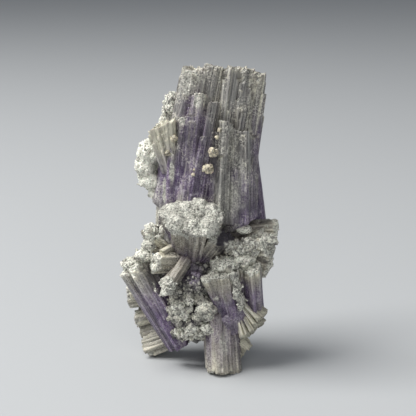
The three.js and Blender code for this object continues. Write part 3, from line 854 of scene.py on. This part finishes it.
LOOKS = {
    "tall_crystal": {
        "ragged": 3.6, "slab": 2.1, "bulge": 0.8, "violet": (0, 0.3, 0), "pitch": 0.222, "edge": 0.8,
        "head_crust": 0.35, "ledge_crust": 0.6, "crust_down": 1.6, "thick": 0.5, "bare": 1.05, "tones": 1.6,
        "violets": (((-5, -3, 58), (12, 14, 12), 1.0), ((-1, -3, 72), (6, 14, 13), 1.0),
                    ((11, -4, 60), (2.5, 8, 4), 0.7), ((17.6, 0, 66), (2.6, 9, 14), 0.9),
                    ((15, -4, 51), (7.2, 8, 12), 1.0), ((2, 10, 55), (16, 6, 16), 0.8)),
        "frosted": (((8.4, -8, 58), (5.5, 7, 18), 0.4), ((-12, -3, 53), (3, 6, 6), 0.5),
                    ((14.5, -7, 52), (5, 8, 8), 0.4)),
        # dark: painted shadow in the cavity under the lower blades and in deep grooves
        "dark": (((9.4, -4, 42.6), (5, 9, 4), 2.2), ((-1.7, -6, 72), (3.6, 6, 10), 0.75),
                 ((4.6, -6, 66), (1.6, 6, 9), 0.8), ((-8, -5, 73), (2.5, 5, 5), 0.6),
                 ((17.8, 0, 62), (2.2, 9, 18), 0.6), ((15.4, -6, 52), (3.4, 6, 6), 0.7)),
        "crusted": (((-2.4, -5, 88.5), (4.5, 5, 4.5), 0.55), ((-8.2, -5, 60), (1.2, 4, 7), 0.85),
                    ((-10.6, -5, 55), (1, 4, 5), 0.85), ((-5.8, -6, 77), (2.2, 4, 1.8), 0.8),
                    ((-0.4, -6, 82.4), (1.6, 4, 3), 0.7), ((8.6, -7, 75), (2, 4, 1.6), 0.7)),
    },
    "rear_crystal": {"violet": (1.2, 1.6, 0.95), "ragged": 1, "bulge": 0.2, "groove": 0.06, "bare": 1.15},
    "front_crystal": {"violet": (0.15, 0.6, 0.7), "head_crust": 1.1, "crust_down": 1.4, "bare": 0.95,
                      "ragged": 1.5, "bleach": (0.6, 0.95, 0.1),
                      "violets": (((-8.5, -5, 42), (3.4, 6, 6), 0.9),),
                      # dark: painted shadow in the deep gaps beside the cap
                      "dark": (((8.4, -11, 43), (2.6, 5, 3), 2.0), ((6.2, -13, 40), (1.6, 5, 3.4), 1.7))},
    "shoulder_crystal": {"violet": (0.2, 0.6, 0.5), "fibre": 0.8, "slab": 2, "head_crust": 0.1, "bare": 1.15,
                         "bleach": (0.3, 0.9, 0.9)},
    "left_crystal": {"violet": (0.45, 0.95, 1.0), "head_crust": 0.9, "crust_down": 2, "bare": 1.1,
                     "bleach": (0.8, 1, 0.4), "seam": 0.15, "groove": 0.15},
    "right_crystal": {"violet": (0.36, 0.9, 1.0), "head_crust": 1.0, "crust_down": 1.5, "bare": 1.05,
                      "violets": (((15.5, -8, 26), (4, 8, 7), 1.0),), "bleach": (0.5, 1.0, 0.5)},
    "right_upper_crystal": {"violet": (0.2, 0.6, 0.4), "head_crust": 0.9, "bare": 0.92,
                            "bleach": (0.7, 1, 0.4),
                            # dark: painted shadow in the deep gaps under these heads
                            "dark": (((9.2, -8.6, 42.4), (3, 4.5, 2.2), 2.2),
                                     ((6.8, -9, 39.4), (1.8, 5, 4), 2.0))},
    "foot_crystal": {"violet": (0.3, 1.3, 0.45), "head_crust": 0.2, "bare": 1.05, "bleach": (0.4, 1.2, 0.4),
                     "slab": 3.4, "bulge": 0.9, "seam": 0.4, "ragged": 1,
                     "frosted": (((7.6, -14, 9.5), (1.8, 4, 4.5), 0.7),),
                     "crusted": (((8.2, -13, 9.5), (1.7, 4, 4), 0.55),)},
    "right_side_crystal": {"violet": (0.2, 0.5, 0.4), "head_crust": 0, "bare": 1.3, "rim": 1.3, "ragged": 5,
                           "bleach": (0.3, 0.8, 0.7), "ledge_crust": 0.2, "edge": 0.7},
    "plates": {"violet": (0.1, 0.3, 0.3), "head_crust": 0, "bare": 1.4, "bleach": (0.2, 0.8, 0.8),
               "ragged": 0.6, "bulge": 0.2, "groove": 0.1, "seam": 0.1, "slab": 1.6, "fibre": 0.7,
               "blend": 0.2},
    "left_foot_crystal": {"violet": (0.2, 0.6, 0.5), "head_crust": 0.5, "bare": 1.0,
                          "bleach": (0.3, 0.9, 0.45)},
    "left_rear_crystals": {"violet": (0.2, 0.5, 0.4), "head_crust": 0.6, "bleach": (0.3, 0.9, 0.5),
                           "ragged": 2},
    "right_foot_crystal": {"violet": (0.5, 0.9, 0.7), "head_crust": 0.4, "bare": 1.0},
    "left_upper_crystal": {"violet": (0.1, 0.4, 0.4), "head_crust": 0.7, "crust_down": 3, "bare": 0.85,
                           "bleach": (0.4, 0.9, 0.6)},
    "small_crystal": {"violet": (0.1, 0.3, 0.3), "fibre": 0.7, "slab": 1.8, "head_crust": 1.0,
                      "crust_down": 4},
    "back_upper_crystal": {"violet": (0.3, 0.7, 0.9), "head_crust": 1.0, "crust_down": 3},
    "back_left_crystal": {"violet": (0.3, 0.7, 0.8), "head_crust": 0.9},
    "back_lower_crystal": {"violet": (0.5, 0.9, 1.0), "head_crust": 0.7},
}


def bundles(node, *rows):
    """Surfaces of bundles of prisms, each from the rows' root, tip, size, count, seed and so on."""
    made = []
    for root, tip, size, count, seed, *rest in rows:
        prisms = slivers(bundle(root, tip, size, count, seed, *rest), 3, seed, (0.5, 0.9))
        made.append(grown_together(prisms, root, tip, max(size) / 2, LOOKS[node]))
    return made


def with_young(lumps, seed, each, size):
    """The lumps, with smaller ones sunk in the surface of each."""
    made = list(lumps)
    for i, (x, y, z, *radii) in enumerate(lumps):
        radii = np.array(radii * 3 if len(radii) == 1 else radii, float)
        for k in range(each):
            turn = 2 * math.pi * chance(seed * 13 + i * 17 + k * 5)
            rise = 2 * chance(seed * 29 + i * 7 + k * 3) - 1
            flat = math.sqrt(1 - rise * rise)
            spot = np.array([x, y, z]) + radii * 0.85 * (flat * math.cos(turn), flat * math.sin(turn), rise)
            made.append((*spot, *(size * (0.5 + chance(seed * 5 + i * 3 + k + axis)) for axis in range(3))))
    return made


def crust_caps(rows, seed, rough=0.6, blocks=2.2, broken=0.7, dark=1.0):
    """Lumps of crust that lie apart, with blocks and chips on them."""
    made = []
    for i, row in enumerate(rows):
        surface = crust_surface([row], seed + i, rough=rough, broken=broken, dark=dark)
        size = np.mean(row[3:])
        made += [surface, chips(surface, int(1.5 * size ** 2), seed + i, (0.2, 0.5))]
        made += [chips(surface, int(blocks * size ** 2), seed + i + 50, (0.5, 0.42 * size),
                       lean=0.8, pale=1.0, rise=(0.7, 1.3), dark=0.9, coat=0.3)]
    return made


def head_crust(row, spots, radius, over, seed, rough=0.7):
    """Crust over a bundle's heads: balls whose tops stand over the plane of the heads, at spots given
    across and deep from the tip, run together."""
    root, tip = np.array(row[0], float), np.array(row[1], float)
    across, deep, along = directions(root, tip)
    middle = tip - along * (radius - over)
    balls = [(*(middle + across * a + deep * b), radius) for a, b in spots]
    surface = crust_surface(balls, seed, middle, rough=rough, broken=0.25)
    return [surface, chips(surface, 60, seed + 1, (0.2, 0.5)),
            chips(surface, 40, seed + 2, (0.5, 1.1), rise=(0.9, 1.5), lean=0.6)]


class TallCrystal(bpy.types.Operator):
    """Builds the tall leaning bundle with the crust on its shoulder, and the violet one behind it"""

    bl_idname = "aragonite.tall_crystal"
    bl_label = "Tall crystal"

    def execute(self, context):
        look = LOOKS["tall_crystal"]
        rows = blades(TALL_BLADES, 100)
        neighbours = ((1, 2), (2, 3), (3, 4), (4, 5), (9, 10), (10, 11), (12, 13), (14, 15), (15, 16))
        rows += between(rows, neighbours)
        rows += blades([[(3, -5.6, 44), (5.4, -5.4, 73), (2.6, 2.4), 1, 15, (0, -0.3)]], 171)
        rows = rows[:1] + slivers(rows[1:], 4, 161)
        body = grown_together(rows, (1, 1, 30), (6.5, 2.5, 91), 14, look)
        make_piece("tall_crystal_stone", [body], material("banded"), "tall_crystal")
        shoulder = crust_surface([(-8, 0, 82.4, 2.2), (-8.8, -0.2, 79, 2.6), (-9.6, 0, 75.6, 2.8)], 345,
                                 (-8.8, 0, 79))
        stubs = chips(shoulder, 60, 91, (0.3, 0.8), rise=(0.8, 1.6))
        make_piece("tall_crystal_crust", [shoulder, stubs], material("crust"), "tall_crystal")
        rows = blades([
            [(18, 6.4, 36), (14.6, 6, 72), (2.6, 4.2), 1.6, 0, (0.4, 0)],
            [(13.5, 9.4, 36), (13.4, 9, 68), (2.8, 3), 1.3, 20, (0.2, 0.2)],
        ], 130)
        rear = grown_together(rows, (17.5, 6.4, 36), (14.4, 6, 71), 5, LOOKS["rear_crystal"])
        make_piece("rear_crystal_stone", [rear], material("deep"), "rear_crystal")
        return {"FINISHED"}


class Shoulder(bpy.types.Operator):
    """Builds the small fan and the crust on the tall crystal's left side, and the cream balls on it"""

    bl_idname = "aragonite.shoulder"
    bl_label = "Shoulder fan, side crust and balls"

    def execute(self, context):
        fan = bundles("shoulder_crystal",
                      ((-8.8, -4, 61), (-12, -5, 76), (8.6, 6.6), 4, 5, 0.5, 0.06, (0.15, 0)))
        # Painted light: the fan is painted with the pale tip and rim colours to stand in for light it doesn't
        # get.
        make_piece("shoulder_crystal_stone", fan, material("bright"), "shoulder_crystal")
        rows = [
            (-15.4, 1, 65.6, 3.6, 3.8, 3.8), (-16.6, 1.4, 61.2, 3.2, 4, 3.4), (-15, 0.6, 57, 3, 3.2, 3),
            (-14, 4, 62, 3.4), (-13.4, 0, 53.2, 2.4, 2, 2.2),
        ]
        crust = crust_surface(with_young(rows, 360, 4, 1.3), 360, (-14.8, 1.4, 60.5), 0.3,
                              broken=0.5, dark=0.3)
        blocks = chips(crust, 70, 63, (0.5, 1.2), rise=(0.8, 1.4), lean=0.6)
        fine = chips(crust, 50, 61, (0.2, 0.5))
        make_piece("side_crust_stone", [crust, blocks, fine], material("snow"), "side_crust")
        balls = [
            (4.1, -9.6, 67.7, 1.5), (2.7, -9.8, 62.7, 1.6), (6.0, -8.4, 74.2, 0.7), (5.2, -8.6, 72, 0.45),
            (-1.8, -9.2, 60.8, 0.6), (-1.6, -9.2, 62.4, 0.4), (-9.5, -6.4, 66.9, 0.9),
            (-7.6, -6.6, 71.4, 1.1),
        ]
        rows = [crust_surface([ball], 500 + i, None, 0.2, 0.8, chunk=1.1) for i, ball in enumerate(balls)]
        make_piece("cream_balls", rows, material("cream"), None)
        return {"FINISHED"}


class FrontCrystal(bpy.types.Operator):
    """Builds the stubby crystal with a wide crusted cap"""

    bl_idname = "aragonite.front_crystal"
    bl_label = "Front crystal"

    def execute(self, context):
        main = ((-2.6, 0, 34), (-1.4, -14.4, 50), (17.6, 14.6), 7, 3, 0.74, 0.06)
        surfaces = bundles("front_crystal", main,
                           ((-6.6, -1, 36), (-8.8, -9.6, 51), (6.6, 7.4), 2, 4, 0.74, 0.06),
                           ((0.4, -4, 35), (5.4, -12.6, 44.6), (8.6, 7), 2, 9, 0.85))
        spots = ((-4.8, -2), (-0.4, -3.4), (4.2, -2.4), (-2.8, 2.2), (1.4, 1.4), (4.8, 2.2), (1, 3.6),
                 (-6.2, 1.4))
        surfaces += head_crust(main, spots, 3.4, 0.6, 330)
        make_piece("front_crystal_stone", surfaces, material("beige"), "front_crystal")
        return {"FINISHED"}


class LeftCrystals(bpy.types.Operator):
    """Builds the crystals that lean left, with the small pair in front of them"""

    bl_idname = "aragonite.left_crystals"
    bl_label = "Left crystals"

    def execute(self, context):
        left = bundles("left_crystal", ((-6.2, -7.4, 6.6), (-20.8, -6.4, 32.6), (10.4, 10), 5, 8, 0.8, 0.06))
        lumps = [(-21, -6.8, 32.8, 3.2, 3, 1.8), (-17.2, -7, 35, 2.8, 2.6, 2)]
        left += crust_caps(lumps, 375, dark=0.4)
        make_piece("left_crystal_stone", left, material("capped"), "left_crystal")
        rear = bundles("left_rear_crystals", ((-3, 4, 22), (-23.4, 6.6, 20), (9, 8.6), 3, 37),
                       ((-2, 5, 16), (-20.2, 6.4, 13), (7, 7), 2, 39))
        make_piece("left_rear_stone", rear, material("beige"), "left_rear_crystals")
        upper = bundles("left_upper_crystal", ((-5, -1, 33), (-14.2, -4.6, 42.4), (8.4, 7), 3, 51),
                        ((-3.6, -4, 32.6), (-14.8, -9.4, 33.6), (6.6, 5.6), 2, 53, 0.9))
        lumps = [(-14.6, -4.6, 41.4, 2.8, 2.4, 3), (-15.4, -5.6, 38, 2.4, 2.2, 2.2)]
        upper += crust_caps(lumps, 405, 0.8, 4)
        rows = blades([[(-6, -5, 38.6), (-11.4, -9.2, 36.6), (1.3, 1.2), 1, 15, (0.2, 0.2)]], 157)
        upper.append(grown_together(rows, rows[0]["foot"], rows[0]["head"], 1.5, LOOKS["plates"]))
        make_piece("left_upper_stone", upper, material("crust"), "left_upper_crystal")
        rows = blades([
            [(-3.6, -7, 34), (-9.6, -15.2, 27.2), (2.1, 2), 1, 10, (0.1, 0.2)],
            [(-6, -7, 33), (-11, -14, 28.4), (1.3, 1.2), 1, 0, (0.1, 0)],
        ], 150)
        look = LOOKS["small_crystal"]
        small = [grown_together([row], row["foot"], row["head"], row["half"][0], look) for row in rows]
        lumps = [(-8.9, -14.2, 28.6, 2.1, 1.7, 1.9), (-9.8, -15.2, 26.6, 1.8, 1.7, 1.8)]
        end = crust_surface(lumps, 431, rough=0.5)
        blocks = chips(end, 30, 434, (0.6, 1.2), rise=(0.6, 1.2), lean=0.5)
        small += [end, chips(end, 16, 433, (0.2, 0.4)), blocks]
        make_piece("small_crystal_stone", small, material("beige"), "small_crystal")
        return {"FINISHED"}


class RightCrystals(bpy.types.Operator):
    """Builds the violet pair with a crusted cap, and the crystals above and beside it"""

    bl_idname = "aragonite.right_crystals"
    bl_label = "Right crystals"

    def execute(self, context):
        pair = bundles("right_crystal", ((10.2, -9.4, 13), (5, -12.4, 32.4), (10.8, 9), 5, 11, 0.56),
                       ((16, -5.4, 16.6), (14.2, -9, 33.4), (10.2, 9.6), 4, 13, 0.84, 0.06))
        lumps = [(7.6, -10.8, 33.4, 4.4, 3.6, 2.4), (13, -8.4, 34.4, 3.8, 3.4, 2)]
        pair += crust_caps(lumps, 385, dark=0.15)
        ridge = crust_surface([(10.2, -12.8, 30.6, 1.7, 2.6, 2.4), (11, -12.2, 26.6, 1.6, 2.6, 3.4),
                               (12.4, -10.4, 21.8, 1.4, 2.8, 3)], 387, (11.2, -12, 26.4), 0.25, 0.5)
        base = crust_surface([(10, -10, 16, 4.6, 2.8, 5)], 391, rough=0.9, broken=0.25, dark=0.7, chunk=1.4,
                             stains=(((10, -10, 16), (9, 9, 9)),))
        pair += [ridge, chips(ridge, 40, 389, (0.25, 0.5)), base]
        make_piece("right_crystal_stone", pair, material("violet"), "right_crystal")
        upper = bundles("right_upper_crystal", ((8, 0, 40.6), (24.4, -2.8, 42.2), (5.2, 5.4), 3, 17),
                        ((6, 1, 35), (21.4, -6, 39.4), (8.6, 8), 3, 19),
                        ((7, -1, 37), (22.4, -3.4, 31), (8.4, 8), 3, 23),
                        ((5, -3, 36), (9.8, -9.8, 40.4), (6, 5.6), 1, 29))
        upper += crust_caps([
            (20.6, -6.2, 39.4, 3, 2.2, 3), (15.4, -8, 38.6, 3.4, 2.2, 3.2), (11.4, -9, 37.6, 2.4, 2, 2.8),
        ], 395, 0.7, 4, 1.0)
        upper += [crust_surface([(13.6, -6.2, 43.3, 2.5, 1.8, 1.6)], 399, rough=0.2, broken=0.25, dark=0.3)]
        make_piece("right_upper_stone", upper, material("crust"), "right_upper_crystal")
        side = bundles("right_side_crystal", ((6, -3, 22), (18.2, -7, 11.6), (14.4, 9), 4, 47, 0.7, 0.1),
                       ((5, -4, 14.6), (15.6, -6, 4.4), (8.6, 7.4), 2, 49))
        plates = blades([
            [(10.6, -9, 19.6), (13.2, -12.8, 10.8), (0.8, 2.2), 0.6, 30, (0, 0.2)],
            [(11, -9, 20), (14.6, -12.8, 11.6), (0.7, 2.4), 0.6, 20, (0.2, 0.2)],
            [(11.6, -9, 20.4), (16, -12.6, 12.8), (0.8, 2.3), 0.6, 35, (0, 0.1)],
            [(12.2, -9, 20.8), (17.2, -12.2, 14.4), (0.7, 2.4), 0.6, 25, (0.1, 0.2)],
            [(12.8, -8.6, 21.2), (18.2, -11.4, 16.2), (0.8, 2), 0.6, 30, (0, 0.1)],
        ], 181)
        make_piece("right_side_stone", side, material("beige"), "right_side_crystal")
        plates = [grown_together([row], row["foot"], row["head"], 1.8, LOOKS["plates"]) for row in plates]
        # Painted light: the plates are painted with the pale tip and rim colours to stand in for light they
        # don't get.
        make_piece("right_side_plates", plates, material("bright"), "right_side_crystal")
        return {"FINISHED"}


class Feet(bpy.types.Operator):
    """Builds the three crystals that the cluster stands on"""

    bl_idname = "aragonite.feet"
    bl_label = "Feet"

    def execute(self, context):
        foot = bundles("foot_crystal", ((6.2, -7, 17), (7.2, -13.4, -0.6), (10.4, 9.4), 5, 27, 0.96, 0.03))
        make_piece("foot_crystal_stone", foot, material("beige"), "foot_crystal")
        left = bundles("left_foot_crystal", ((-2, 1, 10), (-17.2, 5, 3.5), (11, 10.4), 4, 31, 0.7, 0.05))
        make_piece("left_foot_stone", left, material("beige"), "left_foot_crystal")
        right = bundles("right_foot_crystal", ((5, 3, 17), (9, 12, -0.8), (10.8, 10), 4, 43, 0.86, 0.04))
        make_piece("right_foot_stone", right, material("violet"), "right_foot_crystal")
        return {"FINISHED"}


class CrustMass(bpy.types.Operator):
    """Builds the granular mass that the lower crystals stand in"""

    bl_idname = "aragonite.crust_mass"
    bl_label = "Crust mass"

    def execute(self, context):
        rows = [(-3, -6.4, 19.6, 7, 5.6, 7.6), (0, 0, 28, 10.4, 9, 10), (4, 2, 17, 8.4, 7.8, 7.4),
                (1, 1, 37, 8, 6.8, 6.4)]
        front = [
            (-2.8, -8.8, 12.8, 5.4, 4, 4.6), (-0.4, -9, 27, 3.6, 3.4, 4), (-6.4, -11, 18.4, 3.4, 2.6, 3.4),
            (1, -11.4, 19.4, 3.6, 2.6, 3.4), (-2.4, -11.8, 14.6, 3, 2.2, 2.4),
            (-6.2, -9.8, 12.2, 2.4, 2.2, 2.4),
            (-4.4, -8.6, 25.4, 3.4, 2.6, 2.6), (-9, -3, 29, 4.4, 4, 3.6),
        ]
        mass = crust_surface(rows + with_young(front, 300, 5, 1.3), 290, (0, -1, 24), 0.3,
                             stains=(((-2.6, -9, 30.2), (4.4, 6, 3.6)), ((-2, -12, 17.8), (1.7, 4, 1.8))),
                             holes=(((-2, -12, 19.4), (1.6, 5, 2.4)), ((-2.4, -11, 9), (4, 4, 2.2))))
        blocks = chips(mass, 110, 75, (1.0, 2.1), ((-2, -10, 16), (10, 9, 8)),
                       lean=0.8, pale=1.0, rise=(0.7, 1.2), dark=1.0, coat=0.5)
        crystals = chips(mass, 120, 77, (0.5, 1.2), ((-2, -11, 18), (10, 9, 9.5)),
                         lean=1.1, pale=1.2, rise=(1, 2), dark=0.9, coat=0.4)
        fine = chips(mass, 260, 79, (0.25, 0.6), ((-1, -8, 19), (13, 12, 11)))
        # Painted shade: the mass's own surface is darkened all over, so that it reads as shade between the
        # chips.
        mass["hollow"] = mass["hollow"] + 0.6
        make_piece("crust_mass_stone", [mass, blocks, crystals, fine], material("grit"), "crust_mass")
        big = [(-6, -11.6, 18.8, 2.9, 2.3, 3.5), (1.8, -12.2, 18.9, 3, 2.5, 3.3)]
        boulders = crust_caps(big, 455, 0.7, 1.2, 0.6)
        rows = [
            (-3, -12.8, 22.4, 1.5, 1.4, 1.3), (-2.4, -13, 13.8, 2.4, 1.8, 1.7),
            (-4.4, -12, 11.6, 1.8, 1.8, 1.5),
            (-0.6, -12.6, 11.8, 1.7, 1.7, 1.4), (-6.8, -10.6, 12.6, 2.2, 2, 1.9), (2, -12.2, 13.4, 2.1, 2, 2),
        ]
        boulders += crust_caps(rows, 460, 0.8, 5, 1.2)
        make_piece("crust_mass_boulders", boulders, material("crust"), "crust_mass")
        return {"FINISHED"}


class BackCrystals(bpy.types.Operator):
    """Builds the crystals that point away from the viewer"""

    bl_idname = "aragonite.back_crystals"
    bl_label = "Back crystals"

    def execute(self, context):
        upper = bundles("back_upper_crystal", ((1, 3, 30), (4, 15.2, 45), (15, 12.6), 5, 57, 0.7))
        upper += crust_caps([(4.4, 15.4, 45.6, 5, 3.6, 2)], 415)
        make_piece("back_upper_stone", upper, material("beige"), "back_upper_crystal")
        left = bundles("back_left_crystal", ((-1, 3, 27), (-11, 14.4, 33), (12.4, 11), 4, 61, 0.74))
        left += crust_caps([(-11.4, 14.6, 33.6, 3.4, 2.6, 2.4)], 420)
        make_piece("back_left_stone", left, material("beige"), "back_left_crystal")
        lower = bundles("back_lower_crystal", ((2, 4, 22), (1, 17, 13.2), (13, 12.4), 5, 67, 0.74))
        make_piece("back_lower_stone", lower, material("violet"), "back_lower_crystal")
        return {"FINISHED"}


# ---- the stage --------------------------------------------------------------------------------
FLOOR_REACH = 2.5
LIGHT_TARGET = (0, 0, 0.045)
LAMPS = (  # name, place, size, power and tint
    ("window", (-0.7, -0.12, 1.15), 0.95, 28.0, (1.0, 0.99, 0.965)),
    ("front", (0.1, -1.1, 0.6), 0.8, 3.6, (1.0, 0.98, 0.95)),
)
VIEW_CENTRE = (2.6, 0, 48.6)  # in mm
SENSOR_WIDTH = 36  # in mm, as the lens is
LENS = SENSOR_WIDTH * 1298 / 416  # a focal length of 1298 pixels where the render is 416 wide


def set_floor():
    """A wide pale floor under the cluster."""
    paint = Paint("floor")
    shader = paint.node("ShaderNodeBsdfPrincipled", {}, {
        "Base Color": settings().floor_colour, "Roughness": 0.6})
    paint.node("ShaderNodeOutputMaterial", {}, {"Surface": Wire(paint, shader.outputs[0])})
    mesh = bpy.data.meshes.new("floor")
    corners = [(x * FLOOR_REACH, y * FLOOR_REACH, 0) for x, y in ((-1, -1), (1, -1), (1, 1), (-1, 1))]
    mesh.from_pydata(corners, [], [(0, 1, 2, 3)])
    mesh.materials.append(paint.material)
    floor = bpy.data.objects.new("floor", mesh)
    bpy.context.scene.collection.objects.link(floor)


def set_light(scene):
    """A pale room, a large soft lamp from the upper left and a weaker one in front."""
    world = bpy.data.worlds.new("pale_room")
    world.use_nodes = True
    background = world.node_tree.nodes["Background"]
    background.inputs["Color"].default_value = (0.80, 0.85, 0.92, 1)
    background.inputs["Strength"].default_value = 0.25
    scene.world = world
    for name, place, size, power, tint in LAMPS:
        data = bpy.data.lights.new(name, "AREA")
        data.size, data.energy, data.color = size, power, tint
        lamp = bpy.data.objects.new(name, data)
        scene.collection.objects.link(lamp)
        aim(lamp, place, LIGHT_TARGET)


def set_camera(scene):
    """A camera that looks down a little at the cluster's middle."""
    s = settings()
    target = np.array(VIEW_CENTRE) * MM
    data = bpy.data.cameras.new("camera")
    data.sensor_width = SENSOR_WIDTH
    data.lens = LENS
    data.clip_start = 0.01
    camera = bpy.data.objects.new("camera", data)
    scene.collection.objects.link(camera)
    back = np.array([0, -math.cos(s.camera_rise), math.sin(s.camera_rise)]) * s.camera_distance
    aim(camera, tuple(target + back), tuple(target))
    scene.camera = camera


def aim(thing, place, target):
    """Puts a lamp or camera at a place, looking at the target."""
    thing.location = place
    thing.rotation_euler = (Vector(target) - Vector(place)).to_track_quat("-Z", "Y").to_euler()


class Stage(bpy.types.Operator):
    """Sets the pale floor, the soft light and the camera"""

    bl_idname = "aragonite.stage"
    bl_label = "Stage"

    def execute(self, context):
        set_floor()
        set_light(context.scene)
        set_camera(context.scene)
        context.scene.view_settings.view_transform = "Standard"
        return {"FINISHED"}


# ---- the add-on -------------------------------------------------------------------------------
OPERATORS = (TallCrystal, Shoulder, FrontCrystal, LeftCrystals, RightCrystals, Feet, CrustMass,
             BackCrystals, Stage)


class AragonitePanel(bpy.types.Panel):
    """Buttons for the cluster's pieces"""

    bl_idname = "VIEW3D_PT_aragonite"
    bl_label = "Aragonite cluster"
    bl_space_type = "VIEW_3D"
    bl_region_type = "UI"
    bl_category = "Aragonite"

    def draw(self, context):
        for name in AragoniteSettings.__annotations__:
            self.layout.prop(settings(), name)
        for operator in OPERATORS:
            self.layout.operator(operator.bl_idname)


CLASSES = (AragoniteSettings, *OPERATORS, AragonitePanel)


def register():
    """Adds the settings, the operators and the panel to Blender."""
    for made in CLASSES:
        bpy.utils.register_class(made)
    bpy.types.Scene.aragonite = bpy.props.PointerProperty(type=AragoniteSettings)


def unregister():
    """Takes them away again."""
    del bpy.types.Scene.aragonite
    for made in reversed(CLASSES):
        bpy.utils.unregister_class(made)


def main():
    """Builds the cluster and its stage."""
    register()
    for operator in OPERATORS:
        group, name = operator.bl_idname.split(".")
        getattr(getattr(bpy.ops, group), name)()
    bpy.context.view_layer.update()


if __name__ == "__main__":
    main()
